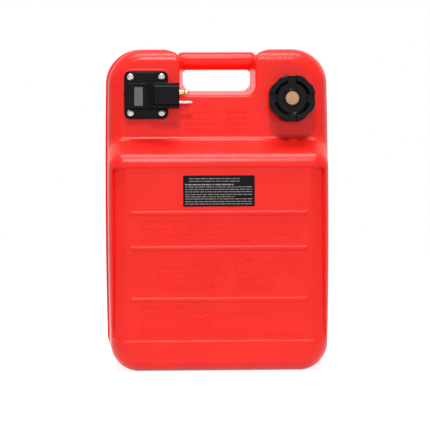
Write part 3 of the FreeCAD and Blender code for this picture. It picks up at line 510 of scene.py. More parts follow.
def dress(piece: Piece, finish: Finish, slot: Slot, body: Body, *replaced: str) -> None:
    """Gives a piece its finish, rides it on its body and hides the nodes that it stands for.

    Args:
        piece: the object.
        finish: its look.
        slot: the record's slot; not used.
        body: the body that carries it.
        replaced: the names of the CAD nodes that it stands for.
    """
    piece.data.materials.clear()
    piece.data.materials.append(finish.material())
    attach(piece, body.value)
    if replaced:
        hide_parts(*replaced)
    LOG.info("%s: %d faces, on %s", piece.name, len(piece.data.polygons), body.value)


@dataclass(frozen=True)
class Axle:
    """The line that a turned piece is built round: its start, its direction and what counts as up."""

    start: Spot
    along: Spot
    up: Spot = (0.0, 0.0, 1.0)

    def place(self, points: Array) -> Array:
        """Moves points given as (across, up, along) to the part's frame.

        Args:
            points: the points.

        Returns:
            The moved points.
        """
        along, up = np.array(self.along), np.array(self.up)
        across = np.cross(up, along)
        return np.array(self.start) + points @ np.stack([across, up, along])


def turned(
    name: str,
    axle: Axle,
    profile: Sequence[Pair],
    steps: int = 96,
    ripple: Callable[[Array, Array], Array] | None = None,
) -> Piece:
    """Turns a closed profile into a piece.

    Args:
        name: the piece's name.
        axle: the line that it turns about.
        profile: points as (radius, distance along), anticlockwise as seen with the axle upwards.
        steps: how many facets go round.
        ripple: how much the radius grows at each (angle, distance along), if it isn't plain.

    Returns:
        The new object.
    """
    outline = np.array(profile, float)
    angles = np.linspace(0, FULL_TURN, steps, endpoint=False)
    radius = np.broadcast_to(outline[:, 0][:, None], (len(outline), steps)).copy()
    along = np.broadcast_to(outline[:, 1][:, None], radius.shape)
    if ripple is not None:
        radius = radius + ripple(angles[None, :], along) * (radius > 0)
    points = np.stack([radius * np.cos(angles), radius * np.sin(angles), along], axis=2).reshape(-1, 3)
    rows, faces = len(outline), []
    for row in range(rows):
        below, above = row * steps, (row + 1) % rows * steps
        for step in range(steps):
            after = (step + 1) % steps
            faces.append([below + step, below + after, above + after, above + step])
    piece = make_piece(name, axle.place(points), faces)
    weld_poles(piece)
    return piece


WELD_GAP = 0.002
SHARP_ANGLE = 38.0


def weld_poles(piece: Piece) -> None:
    """Welds vertices that lie together, such as a profile's points on its axle, and keeps edges crisp.

    Args:
        piece: the object.
    """
    weld = piece.modifiers.new("weld", "WELD")
    weld.merge_threshold = WELD_GAP * MM
    graph = bpy.context.evaluated_depsgraph_get()
    welded = bpy.data.meshes.new_from_object(piece.evaluated_get(graph))
    piece.modifiers.clear()
    old, piece.data = piece.data, welded
    bpy.data.meshes.remove(old)
    piece.data.name = piece.name
    piece.data.shade_smooth()
    piece.data.set_sharp_from_angle(angle=math.radians(SHARP_ANGLE))


def eased_profile(profile: Sequence[Pair], radius: float) -> list[Pair]:
    """Rounds each corner of a closed profile that isn't on the axle.

    Args:
        profile: the sharp corners.
        radius: the round, made smaller where an edge is short.

    Returns:
        The profile with five points on a curve in place of each corner.
    """
    points = [Vector(p) for p in profile]
    soft: list[Pair] = []
    for n, here in enumerate(points):
        before, after = points[n - 1], points[(n + 1) % len(points)]
        if here.x < 1e-6:
            soft.append(tuple(here))
            continue
        back, on = before - here, after - here
        cut = min(radius, back.length * 0.45, on.length * 0.45)
        start, end = here + back.normalized() * cut, here + on.normalized() * cut
        for t in (0.0, 0.25, 0.5, 0.75, 1.0):
            spot = start * (1 - t) ** 2 + here * 2 * t * (1 - t) + end * t * t
            soft.append((spot.x, spot.y))
    return soft


@dataclass
class Tank:
    """The moulded shell: drafted body, parting bead, lowered deck, panels, hand hole and bar."""

    half_depth: float = 115.0
    side: float = 167.5
    top: float = 479.5
    side_draft: float = 7.0
    top_draft: float = 5.0
    top_corner: float = 52.0
    bottom_corner: float = 41.0
    edge_round: float = 22.0
    foot_round: float = 9.0
    foot_fade: Pair = (14.0, 70.0)
    barrel: float = 2.3
    barrel_mid: float = 257.0
    barrel_reach: float = 215.0
    barrel_most: float = 1.4
    bead_half: float = 7.0
    bead_proud: float = 2.5
    bead_foot: float = 8.0
    bead_edge: float = 2.0
    bead_join: float = 2.0
    deck_foot: float = 342.0
    slope_drop: float = 29.0
    hollow: float = 12.0
    brow: float = 26.0
    panel_low: float = 46.0
    panel_high: float = 299.0
    panel_half: float = 155.0
    panel_depth: float = 3.0
    panel_flat: float = 130.0
    panel_round: float = 34.0
    panel_corner: float = 5.0
    panel_join: float = 1.2
    ledge_round: float = 2.0
    ribs: tuple[float, ...] = (232.0, 181.0, 106.0)
    rib_half: float = 3.0
    rib_proud: float = 2.6
    rib_crest: float = 2.5
    rib_join: float = 0.4
    rib_root: float = 8.0
    hole_half: float = 51.5
    hole_low: float = 419.0
    hole_flare: float = 8.2
    hole_fall: float = 19.7
    hole_corner: float = 14.0
    hole_edge: float = 4.0
    shoulder_knee: float = 468.0
    shoulder_run: float = 26.0
    shoulder_rise: float = 14.0
    shoulder_ease: float = 9.0
    bar_up: float = 464.5
    bar_tall: float = 13.5
    bar_deep: float = 16.0
    bar_round: float = 13.3
    bar_end: float = 58.0
    bar_edge: float = 5.0
    bar_join: float = 6.0
    bore: float = 22.5
    bore_deep: float = 60.0
    pad_half: Pair = (35.5, 38.5)
    pad_corner: float = 12.0
    pad_proud: float = 1.5
    pad_root: float = 20.0
    pad_edge: float = 0.8

    def outline(
        self, x: Array, y: Array, z: Array, side: float, top: float, foot: float, draft: bool
    ) -> Array:
        """Distance to the tank's front outline, a rectangle with round corners and slightly bellied sides.

        Args:
            x, y, z: where.
            side: half width at the parting plane.
            top: height at the parting plane.
            foot: height of the lowest line.
            draft: whether the outline shrinks towards the faces.

        Returns:
            The distance, negative inside.
        """
        run = np.abs(y) / self.half_depth if draft else 0.0
        belly = self.barrel * np.minimum(((z - self.barrel_mid) / self.barrel_reach) ** 2, self.barrel_most)
        half = side - self.side_draft * run - belly
        high = top - self.top_draft * run
        corner = np.where(z > self.top / 2, self.top_corner, self.bottom_corner)
        return rounded_box(x, z - (high + foot) / 2, half, (high - foot) / 2, corner)

    def front(self, y: Array, z: Array) -> Array:
        """Distance to everything behind the front face, the slope and the deck.

        Args:
            y, z: where.

        Returns:
            The distance, negative inside.
        """
        length = math.hypot(self.half_depth + DECK, self.slope_drop)
        lean, rise = self.slope_drop / length, (self.half_depth + DECK) / length
        face, deck = -self.half_depth - y, DECK - y
        slope = -(y - DECK) * lean + (z - self.deck_foot) * rise
        lower = rounded_wedge(face, slope, lean, self.brow)
        return -rounded_wedge(-deck, -lower, lean, self.hollow)

    def hole(self, x: Array, y: Array, z: Array) -> Array:
        """Distance to the air of the hand hole and the space over its shoulders.

        Args:
            x, y, z: where.

        Returns:
            The distance, negative in the air.
        """
        run = np.abs(y) / self.half_depth
        half, low = self.hole_half + self.hole_flare * run, self.hole_low - self.hole_fall * run
        wall, floor = np.abs(x) - half, low - z
        well = rounded_cut(wall, floor, self.hole_corner)
        length = math.hypot(self.shoulder_run, self.shoulder_rise)
        over = (wall * self.shoulder_rise - (z - self.shoulder_knee) * self.shoulder_run) / length
        return -soft_cut(-well, -over, self.shoulder_ease)

    def panels(self, solid: Array, x: Array, y: Array, z: Array) -> Array:
        """Sets the front and back panels into the solid.

        Args:
            solid: distance to what they are set into.
            x, y, z: where.

        Returns:
            The distance with the panels.
        """
        tall, mid = (self.panel_high - self.panel_low) / 2, (self.panel_high + self.panel_low) / 2
        window = rounded_box(x, z - mid, self.panel_half, tall, self.panel_corner)
        deep = self.half_depth - self.panel_depth
        core = rounded_box(x, y, self.panel_flat + self.panel_round, deep, self.panel_round)
        kept = filleted_join(-window, core, self.panel_join)
        return rounded_cut(solid, kept, self.ledge_round)

    def add_ribs(self, solid: Array, x: Array, y: Array, z: Array) -> Array:
        """Lays the three ribs on the front panel.

        Args:
            solid: distance to what they stand on.
            x, y, z: where.

        Returns:
            The distance with the ribs.
        """
        face = self.half_depth - self.panel_depth
        crest = layer(y, -face - self.rib_proud, self.rib_root - face)
        for level in self.ribs:
            bar = rounded_box(x, z - level, self.panel_flat, self.rib_half, self.rib_half - 0.05)
            solid = filleted_join(solid, rounded_cut(bar, crest, self.rib_crest), self.rib_join)
        return solid

    def distance(self, x: Array, y: Array, z: Array) -> Array:
        """Distance to the whole skin, without the neck.

        Args:
            x, y, z: where.

        Returns:
            The distance, negative inside.
        """
        body = self.outline(x, y, z, self.side, self.top, 0.0, True)
        ends = np.maximum(self.front(y, z), y - self.half_depth)
        edge = self.edge_round + self.foot_round * (1 - eased(z, *self.foot_fade))
        solid = rounded_cut(body, ends, edge)
        proud = self.bead_proud
        band = self.outline(x, y, z, self.side + proud, self.top + proud, self.bead_foot, False)
        band = rounded_cut(band, np.abs(y) - self.bead_half, self.bead_edge)
        solid = filleted_join(solid, band, self.bead_join)
        solid = self.panels(solid, x, y, z)
        solid = self.add_ribs(solid, x, y, z)
        solid = rounded_cut(solid, -self.hole(x, y, z), self.hole_edge)
        bar = rounded_box(y, z - self.bar_up, self.bar_deep, self.bar_tall, self.bar_round)
        bar = rounded_cut(bar, np.abs(x) - self.bar_end, self.bar_edge)
        solid = filleted_join(solid, bar, self.bar_join)
        height = DECK - y
        across, up = x - GAUGE_AT[0], z - GAUGE_AT[1]
        pad = rounded_box(across, up, *self.pad_half, self.pad_corner)
        pad = rounded_cut(pad, layer(height, -self.pad_root, self.pad_proud), self.pad_edge)
        solid = filleted_join(solid, pad, self.pad_edge)
        bore = np.hypot(x - CAP_AT[0], z - CAP_AT[1]) - self.bore
        return np.maximum(solid, -np.maximum(bore, -height - self.bore_deep))

    def lines(self) -> list[Array]:
        """Lays the grid for the skin, closer at ledges, ribs, the bead and the hand hole.

        Returns:
            The grid's lines along X, Y and Z.
        """
        pad_wide, pad_tall = self.pad_half
        sides = both_sides(0.0, self.panel_half, 3.0, 0.7)
        sides += both_sides(0.0, self.side + 0.5, 3.5, 0.9)
        sides += both_sides(0.0, self.panel_flat, 3.0, 1.0)
        sides += both_sides(0.0, self.bar_end - 1.0, 9.0, 1.5)
        sides += both_sides(CAP_AT[0], self.bore, 1.0, 1.2)
        sides += both_sides(GAUGE_AT[0], pad_wide, 1.5, 0.7)
        depths = both_sides(0.0, self.half_depth - self.panel_depth / 2, 2.8, 0.6)
        depths += both_sides(0.0, self.bead_half, 2.5, 0.8)
        depths += [Closer(DECK - 1.0, 3.0, 0.8)]
        heights = [Closer(z, 2.5, 0.6) for z in (self.panel_low, self.panel_high)]
        heights += [Closer(z, 3.6, 0.6) for z in self.ribs]
        heights += [Closer(self.shoulder_knee + 6.0, 9.0, 1.0), Closer(self.hole_low - 9.0, 12.0, 1.6)]
        heights += both_sides(GAUGE_AT[1], pad_tall, 1.5, 0.7)
        return [
            grid_lines(-self.side - 6.5, self.side + 6.5, 3.6, sides),
            grid_lines(-self.half_depth - 4.0, self.half_depth + 4.0, 3.4, depths),
            grid_lines(-4.0, self.top + 6.5, 3.6, heights),
        ]

    def build(self) -> None:
        """Meshes the shell and the neck and hides the CAD shell."""
        skin = make_piece("tank_skin", *mesh_skin(self.distance, self.lines()))
        dress(skin, TANK_SKIN, Slot.TANK_RED, Body.TANK, "tank_shell")
        FillerNeck().build()


@dataclass
class DeckPart:
    """What stands on the deck round a middle, given as (right, up)."""

    at: Pair = CAP_AT

    def frame(self, x: Array, y: Array, z: Array) -> tuple[Array, Array, Array]:
        """Turns the part's frame into (right, up, height above the deck) from the middle."""
        return x - self.at[0], z - self.at[1], DECK - y

    def round_grid(self, reach: float, heights: Pair, across: float, deep: float) -> list[Array]:
        """Lays the grid for a round piece.

        Args:
            reach: how far the piece runs from the middle.
            heights: its lowest and greatest height.
            across: the spacing along the deck.
            deep: the spacing away from the deck.

        Returns:
            The grid's lines along X, Y and Z.
        """
        low, high = heights
        return [
            even_lines(self.at[0], reach, across),
            grid_lines(DECK - high, DECK - low, deep),
            even_lines(self.at[1], reach, across),
        ]


@dataclass
class FillerNeck(DeckPart):
    """The threaded neck that the cap screws on, moulded in one with the shell."""

    bore: float = 22.5
    root: float = 26.5
    tall: float = 17.0
    collar: float = 30.5
    collar_thick: float = 2.5
    pitch: float = 6.0
    turns: float = 1.5
    thread_start: float = 5.5
    thread_depth: float = 1.6
    thread_crest: float = 1.2
    thread_fade: float = 8.0
    thread_lean: float = 0.5
    root_deep: float = 2.0

    def distance(self, x: Array, y: Array, z: Array) -> Array:
        """Distance to the neck, its collar and its thread.

        Args:
            x, y, z: where.

        Returns:
            The distance, negative inside.
        """
        across, up, height = self.frame(x, y, z)
        radius = np.hypot(across, up)
        wall = rounded_cut(radius - self.root, layer(height, -self.root_deep, self.tall), 1.0)
        flat = layer(height, -self.root_deep, self.collar_thick)
        collar = rounded_cut(radius - self.collar, flat, 0.7)
        solid = filleted_join(wall, collar, 1.0)
        angle = np.arctan2(up, across)
        turn = (angle / FULL_TURN) % 1.0
        nearest = np.round((height - self.thread_start) / self.pitch - turn)
        along = np.clip(nearest + turn, 0.0, self.turns)
        offset = np.abs(height - self.thread_start - along * self.pitch)
        fade = np.clip(np.minimum(nearest + turn, self.turns - nearest - turn) * self.thread_fade + 1, 0, 1)
        reach = radius - self.root - self.thread_depth * fade
        below = self.root + self.thread_depth - radius
        flank = (offset - self.thread_crest / 2) - below * self.thread_lean
        ridge = rounded_cut(reach, flank * 0.89, 0.3)
        solid = np.minimum(solid, np.maximum(ridge, self.root - 1.0 - radius))
        return rounded_cut(solid, self.bore - radius, 0.8)

    def build(self) -> None:
        """Meshes the neck."""
        grid = self.round_grid(self.collar + 1.5, (-self.root_deep - 1.5, self.tall + 1.5), 0.8, 0.5)
        neck = make_piece("filler_neck", *mesh_skin(self.distance, grid))
        dress(neck, TANK_SKIN, Slot.TANK_RED, Body.TANK)


@dataclass
class FillerCap(DeckPart):
    """The black cap with its finger dips and its rim of four raised segments, and the vent screw in it."""

    radius: float = 35.0
    low: float = 3.5
    ceiling: float = 19.6
    floor: float = 24.1
    top: float = 32.1
    rim_inner: float = 22.6
    rim_flare: float = 0.5
    gap_half: float = 6.2
    gap_floor: float = 25.4
    dips: int = 8
    dip_half: float = 6.5
    dip_radius: float = 33.5
    chamfer: float = 2.0
    cavity: float = 29.2
    hub: float = 13.0
    hub_tall: float = 0.7
    bush: float = 5.5
    vent_radius: float = 9.8
    vent_low: float = 25.9
    vent_high: float = 31.1
    knurl_teeth: int = 36
    knurl_deep: float = 0.18
    stem: float = 3.0
    stem_end: float = 10.0

    def distance(self, x: Array, y: Array, z: Array) -> Array:
        """Distance to the cap's shell.

        Args:
            x, y, z: where.

        Returns:
            The distance, negative inside.
        """
        across, up, height = self.frame(x, y, z)
        radius = np.hypot(across, up)
        step = FULL_TURN / self.dips
        angle = np.arctan2(up, across)
        folded = angle - step * np.round(angle / step)
        radial, aside = radius * np.cos(folded), np.abs(radius * np.sin(folded))
        dip = np.maximum(self.dip_radius - radial, aside - self.dip_half)
        side = rounded_cut(radius - self.radius, -dip, 0.6)
        bevel = (radius - self.radius + height - self.top + self.chamfer) / math.sqrt(2)
        solid = soft_cut(rounded_cut(side, height - self.top, 0.5), bevel, 0.8)
        solid = rounded_cut(solid, self.low - height, 0.8)
        funnel = radius - self.rim_inner - (height - self.floor) * self.rim_flare
        bowl = rounded_cut(funnel * 0.9, self.floor - height, 2.0)
        solid = rounded_cut(solid, -bowl, 0.5)
        gap = np.minimum(np.abs(across), np.abs(up)) - self.gap_half
        gap = rounded_cut(gap, self.gap_floor - height, 0.8)
        outer = self.rim_inner - 4.0 - radius
        solid = rounded_cut(solid, -np.maximum(gap, outer), 0.6)
        hub = rounded_cut(radius - self.hub, height - self.floor - self.hub_tall, 0.4)
        solid = filleted_join(solid, np.maximum(hub, self.floor - 2.0 - height), 0.8)
        solid = np.maximum(solid, -np.maximum(radius - self.cavity, height - self.ceiling))
        return np.maximum(solid, self.bush - radius)

    def build(self) -> None:
        """Meshes the cap and turns its vent screw."""
        grid = self.round_grid(self.radius + 1.0, (self.low - 1.2, self.top + 1.2), 0.6, 0.55)
        cap = make_piece("filler_cap", *mesh_skin(self.distance, grid))
        dress(cap, CAP_PLASTIC, Slot.CAP_BLACK, Body.CAP, "cap_shell")
        self.build_vent()

    def build_vent(self) -> None:
        """Turns the brass vent screw, with a knurled rim and a shallow ring near the edge of its face."""
        high, low, edge = self.vent_high, self.vent_low, self.vent_radius
        stem = [(0.0, self.stem_end), (self.stem, self.stem_end), (self.stem, low)]
        rim = [(edge - 0.3, low), (edge, low + 0.4), (edge, high - 0.7), (edge - 0.6, high)]
        ring = [(edge - 1.3, high), (edge - 1.5, high - 0.25), (edge - 1.9, high - 0.25), (edge - 2.1, high)]
        profile = eased_profile([*stem, *rim, *ring, (0.0, high)], 0.2)

        def knurl(angle: Array, along: Array) -> Array:
            """Small teeth round the head's side."""
            on_side = (along > low + 0.5) & (along < high - 0.8)
            return -self.knurl_deep * np.abs(np.sin(angle * self.knurl_teeth)) * on_side

        axle = Axle((self.at[0], DECK, self.at[1]), (0.0, -1.0, 0.0))
        vent = turned("vent_knob", axle, profile, 216, knurl)
        dress(vent, CAST_BRASS, Slot.VALVE_BRASS, Body.VENT, "vent_screw")


@dataclass
class GaugeHead(DeckPart):
    """The black head: screwed plate, window housing, ramp and connector block."""

    at: Pair = GAUGE_AT
    plate_half: Pair = (32.5, 35.5)
    plate_corner: float = 9.0
    plate_low: float = 3.5
    plate_top: float = 8.5
    border: float = 2.6
    border_drop: float = 0.7
    screw_at: Pair = (23.0, 26.5)
    well: float = 5.6
    screw_seat: float = 7.7
    house_mid: float = -2.1
    house_left: float = -26.0
    house_half: float = 18.5
    house_top: float = 21.0
    ramp_start: float = -2.5
    ramp_end: float = 12.5
    base_top: float = 26.0
    block_half: float = 14.7
    block_top: float = 31.0
    block_right: float = 49.0
    ramp_power: float = 2.2
    ramp_steep: float = 1.4
    block_under: float = 9.5
    block_chamfer: float = 2.2
    window_at: Pair = (-10.8, -3.1)
    window_half: Pair = (6.5, 14.0)
    window_ledge: float = 1.2
    window_floor: float = 18.6
    lens_top: float = 20.6
    sight_floor: float = 5.0
    nib_up: float = 0.6
    nib_radius: float = 1.3
    nib_top: float = 7.0
    groove_right: float = -3.1
    groove_half: Pair = (0.55, 15.6)
    groove_deep: float = 0.7

    def plate(self, right: Array, up: Array, height: Array) -> Array:
        """Distance to the screwed plate with its lower border.

        Args:
            right, up, height: where, from the head's middle on the deck.

        Returns:
            The distance, negative inside.
        """
        wide, tall = self.plate_half
        rim = rounded_box(right, up, wide, tall, self.plate_corner)
        rim = rounded_cut(rim, layer(height, self.plate_low, self.plate_top - self.border_drop), 0.9)
        inner = rounded_box(
            right, up, wide - self.border, tall - self.border, self.plate_corner - self.border
        )
        inner = rounded_cut(inner, layer(height, self.plate_low, self.plate_top), 0.5)
        nib = np.hypot(right + wide, up - self.nib_up) - self.nib_radius
        nib = rounded_cut(nib, layer(height, self.plate_low, self.nib_top), 0.3)
        return filleted_join(np.minimum(rim, nib), inner, 0.4)

    def crown(self, right: Array, height: Array) -> Array:
        """Distance to everything under the housing's top line, with its hollow ramp.

        Args:
            right, height: where, from the head's middle on the deck.

        Returns:
            The distance, negative inside.
        """
        run = np.clip((right - self.ramp_start) / (self.ramp_end - self.ramp_start), 0, 1.0)
        rise = self.block_top - self.house_top
        level = self.house_top + rise * (1 - np.sqrt(np.maximum(1 - run**self.ramp_power, 0)))
        steep = rise / (self.ramp_end - self.ramp_start) * self.ramp_steep * ((run > 0) & (run < 1))
        return (height - level) / np.sqrt(1 + (steep * run) ** 2)

    def distance(self, x: Array, y: Array, z: Array) -> Array:
        """Distance to the head.

        Args:
            x, y, z: where.

        Returns:
            The distance, negative inside.
        """
        right, up, height = self.frame(x, y, z)
        beside = np.abs(up - self.house_mid)
        crown = self.crown(right, height)
        ends = layer(right, self.house_left, self.block_right)
        base_top = np.maximum(crown, height - self.base_top)
        base = rounded_cut(rounded_cut(ends, beside - self.house_half, 1.0), base_top, 0.8)
        bevel = (beside - self.block_half + height - self.block_top + self.block_chamfer) / math.sqrt(2)
        block = np.maximum(rounded_cut(ends, beside - self.block_half, 0.6), bevel)
        block = soft_cut(rounded_cut(block, crown, 0.4), bevel, 0.5)
        house = filleted_join(base, block, 0.6)
        clear = np.minimum(self.block_under - height, right - self.plate_half[0])
        house = rounded_cut(house, clear, 0.6)
        house = np.maximum(house, self.plate_low + 0.5 - height)
        solid = filleted_join(self.plate(right, up, height), house, 0.9)
        wells = np.hypot(np.abs(right) - self.screw_at[0], np.abs(up) - self.screw_at[1]) - self.well
        solid = rounded_cut(solid, -np.maximum(wells, self.screw_seat - height), 0.3)
        beside_window = right - self.window_at[0], up - self.window_at[1]
        wide, tall = self.window_half
        recess = rounded_box(*beside_window, wide, tall, 0.7)
        solid = rounded_cut(solid, -np.maximum(recess, self.window_floor - height), 0.4)
        sight = rounded_box(*beside_window, wide - self.window_ledge, tall - self.window_ledge, 0.6)
        solid = np.maximum(solid, -np.maximum(sight, self.sight_floor - height))
        groove = rounded_box(right - self.groove_right, up - self.house_mid, *self.groove_half, 0.3)
        return rounded_cut(solid, -np.maximum(groove, self.house_top - self.groove_deep - height), 0.25)

    def build(self) -> None:
        """Meshes the head and adds its screws and window."""
        x, z = self.at
        wells = both_sides(x, self.screw_at[0], 6.0, 0.5)
        lines = [
            grid_lines(x - self.plate_half[0] - 2.5, x + self.block_right + 1.0, 0.62, wells),
            grid_lines(DECK - self.block_top - 1.0, DECK - self.plate_low + 1.0, 0.5),
            even_lines(z, self.plate_half[1] + 1.0, 0.6),
        ]
        head = make_piece("gauge_head", *mesh_skin(self.distance, lines))
        dress(head, HEAD_PLASTIC, Slot.HEAD_BLACK, Body.TANK, "gauge_flange")
        PanHeads(self).build()
        self.build_window()

    def build_window(self) -> None:
        """Meshes the smoked window."""
        wide, tall = self.window_half

        def pane(x: Array, y: Array, z: Array) -> Array:
            """Distance to the pane.

            Args:
                x, y, z: where.

            Returns:
                The distance, negative inside.
            """
            right, up, height = self.frame(x, y, z)
            right, up = right - self.window_at[0], up - self.window_at[1]
            edge = rounded_box(right, up, wide - 0.05, tall - 0.05, 0.6)
            return rounded_cut(edge, layer(height, self.window_floor, self.lens_top), 0.3)

        x, z = self.at[0] + self.window_at[0], self.at[1] + self.window_at[1]
        lines = [
            even_lines(x, wide + 0.7, 0.4),
            grid_lines(DECK - self.lens_top - 0.5, DECK - self.window_floor + 0.5, 0.2),
            even_lines(z, tall + 0.7, 0.5),
        ]
        lens = make_piece("smoked_lens", *mesh_skin(pane, lines))
        dress(lens, SMOKED, Slot.WINDOW_CLEAR, Body.TANK, "gauge_lens")


@dataclass
class PanHeads:
    """The four domed screws that hold the plate, each turned to its own angle."""

    head: GaugeHead
    radius: float = 5.0
    tall: float = 3.2
    dome: float = 1.3
    shank: float = 2.45
    shank_end: float = -9.3
    cross_half: float = 0.9
    cross_reach: float = 3.1
    cross_deep: float = 2.3
    turns: tuple[float, ...] = (20.0, 52.0, 35.0, 8.0)
    slope: float = 0.55

    def distance(self, middle: Pair, angle: float) -> Distance:
        """Makes the distance of one screw.

        Args:
            middle: the screw's place on the deck.
            angle: how far its recess is turned, in degrees.

        Returns:
            The distance of that screw.
        """
        cos, sin = math.cos(math.radians(angle)), math.sin(math.radians(angle))
        seat = self.head.screw_seat

        def screw(x: Array, y: Array, z: Array) -> Array:
            """Distance to the screw.

            Args:
                x, y, z: where.

            Returns:
                The distance, negative inside.
            """
            right, up, height = x - middle[0], z - middle[1], DECK - y
            radius = np.hypot(right, up)
            crown = height - seat - self.tall + self.dome * (radius / self.radius) ** 2
            top = rounded_cut(radius - self.radius, np.maximum(crown, seat - height), 0.7)
            a, b = np.abs(right * cos + up * sin), np.abs(up * cos - right * sin)
            depth = seat + self.tall - self.cross_deep - height
            taper = (height - seat - self.tall) * self.slope
            arm = np.maximum(np.minimum(a, b) - self.cross_half, np.maximum(a, b) - self.cross_reach - taper)
            top = rounded_cut(top, -np.maximum(arm, depth), 0.15)
            stem = np.maximum(radius - self.shank, layer(height, self.shank_end, seat + 0.5))
            return np.minimum(top, stem)

        return screw

    def build(self) -> None:
        """Meshes the four screws as one piece."""
        skins, count = [], 0
        top = self.head.screw_seat + self.tall
        reach = self.radius + 0.6
        crown = [Closer(DECK - top + 1.2, 2.4, 0.2)]
        places = [(side, level) for level in (1, -1) for side in (-1, 1)]
        for (side, level), angle in zip(places, self.turns):
            x = self.head.at[0] + side * self.head.screw_at[0]
            z = self.head.at[1] + level * self.head.screw_at[1]
            lines = [
                even_lines(x, reach, 0.22),
                grid_lines(DECK - top - 0.5, DECK - self.shank_end + 0.6, 1.0, crown),
                even_lines(z, reach, 0.22),
            ]
            points, faces, normals = mesh_skin(self.distance((x, z), angle), lines)
            skins.append((points, faces + count, normals))
            count += len(points)
        piece = make_piece("pan_head_screws", *(np.concatenate(part) for part in zip(*skins)))
        dress(piece, SCREW_METAL, Slot.SCREW_STEEL, Body.TANK, "flange_screws")


@dataclass
class Connector:
    """The brass fuel nipple and the steel guide pin on the block's right face."""

    face: float = -57.0
    depth: float = -88.0
    nipple_up: float = 409.7
    pin_up: float = 395.0
    nipple: tuple[Pair, ...] = (
        (2.0, -9.0), (5.0, -9.0), (5.0, 0.0), (4.0, 0.05), (4.0, 7.0), (2.8, 7.0), (2.8, 8.2),
        (4.0, 8.2), (4.0, 12.5), (2.8, 13.7), (2.0, 13.7),
    )
    pin: tuple[Pair, ...] = (
        (0.0, -11.0), (3.2, -11.0), (3.2, 0.0), (2.4, 0.05), (2.4, 13.2), (2.1, 14.0),
        (2.1, 14.8), (2.4, 15.6), (2.3, 16.6), (1.7, 18.6), (0.9, 20.1), (0.0, 20.4),
    )

    def build(self) -> None:
        """Turns both pieces."""
        for name, up, profile, ease, finish, slot, node in (
            ("fuel_nipple", self.nipple_up, self.nipple, 0.25, BRASS, Slot.VALVE_BRASS, "outlet_nipple"),
            ("bullet_pin", self.pin_up, self.pin, 0.3, PIN_METAL, Slot.PIN_STEEL, "guide_pin"),
        ):
            axle = Axle((self.face, self.depth, up), (1.0, 0.0, 0.0))
            dress(turned(name, axle, eased_profile(profile, ease)), finish, slot, Body.TANK, node)


class Blocks:
    """Low four-sided blocks that face the front, gathered into one flat-shaded piece."""

    def __init__(self) -> None:
        """Starts with no block."""
        self.points: list[Spot] = []
        self.faces: list[list[int]] = []

    def add(self, span: Spot, half_tall: float, depths: Pair, ease: float = 0.0) -> None:
        """Adds one block.

        Args:
            span: its left end, right end and level.
            half_tall: half its height.
            depths: where its front and its foot lie.
            ease: how far its sides slope in towards the front.
        """
        left, right, level = span
        start = len(self.points)
        for depth, inset in zip(depths, (ease, 0.0)):
            low, high = level - half_tall + inset, level + half_tall - inset
            self.points += [
                (left + inset, depth, low),
                (right - inset, depth, low),
                (right - inset, depth, high),
                (left + inset, depth, high),
            ]
        self.faces += [[start + k for k in (0, 1, 2, 3)], [start + k for k in (7, 6, 5, 4)]]
        for k in range(4):
            after = (k + 1) % 4
            self.faces.append([start + k, start + 4 + k, start + 4 + after, start + after])

    def gather(self, name: str, finish: Finish, slot: Slot) -> None:
        """Makes the blocks one piece of the tank.

        Args:
            name: the piece's name.
            finish: its look.
            slot: the record's slot.
        """
        piece = make_piece(name, np.array(self.points), self.faces)
        piece.data.shade_flat()
        dress(piece, finish, slot, Body.TANK)


@dataclass
class Sticker:
    """The black sticker on the front panel, with plain bars where such a sticker is printed."""

    up: float = 264.0
    half: Pair = (52.25, 22.65)
    corner: float = 2.0
    face: float = PANEL_FACE
    thick: float = 0.3
    rows: tuple[float, ...] = (18.0, 14.2, 9.3, 5.8, 2.3, -1.2, -5.1, -8.4, -11.6, -15.4, -18.9)
    heading_rows: int = 2
    heading_insets: Pair = (9.0, 22.0)
    text_insets: Pair = (3.0, 4.0)
    short_by: float = 26.0
    short_chance: float = 0.2
    tall_row: int = 2
    bar_halves: Pair = (0.42, 0.8)
    bar_proud: float = 0.03
    bar_sunk: float = 0.02
    bar_long: Pair = (2.0, 9.0)
    bar_gap: Pair = (0.9, 1.4)
    seed: int = 5

    def distance(self, x: Array, y: Array, z: Array) -> Array:
        """Distance to the film."""
        edge = rounded_box(x, z - self.up, *self.half, self.corner)
        return rounded_cut(edge, layer(y, self.face - self.thick, self.face), 0.1)

    def build(self) -> None:
        """Meshes the film and its bars."""
        wide, tall = self.half
        lines = [
            grid_lines(-wide - 1.0, wide + 1.0, 3.0, both_sides(0.0, wide, 2.0, 0.4)),
            grid_lines(self.face - self.thick - 0.2, self.face + 0.2, 0.1),
            grid_lines(self.up - tall - 1.0, self.up + tall + 1.0, 3.0, both_sides(self.up, tall, 2.0, 0.4)),
        ]
        film = make_piece("sticker_film", *mesh_skin(self.distance, lines))
        dress(film, LABEL_FILM, Slot.LABEL_BLACK, Body.TANK, "rating_label")
        self.build_bars()

    def build_bars(self) -> None:
        """Lays rows of plain bars of uneven length on the film."""
        dice = random.Random(self.seed)
        bars = Blocks()
        front = self.face - self.thick
        depths = (front - self.bar_proud, front + self.bar_sunk)
        for number, row in enumerate(self.rows):
            half_tall = self.bar_halves[number == self.tall_row]
            heading = number < self.heading_rows
            before, after = self.heading_insets if heading else self.text_insets
            if not heading and dice.random() < self.short_chance:
                after += self.short_by
            left, stop = before - self.half[0], self.half[0] - after
            while left < stop:
                right = min(left + dice.uniform(*self.bar_long), stop)
                bars.add((left, right, self.up + row), half_tall, depths)
                left = right + dice.uniform(*self.bar_gap)
        bars.gather("sticker_bars", LABEL_PRINT, Slot.LABEL_BLACK)


@dataclass(frozen=True)
class RowBlock:
    """Rows that start in line: their left end, then each row's level and its right end."""

    left: float
    levels: tuple[float, ...]
    stops: tuple[float, ...]


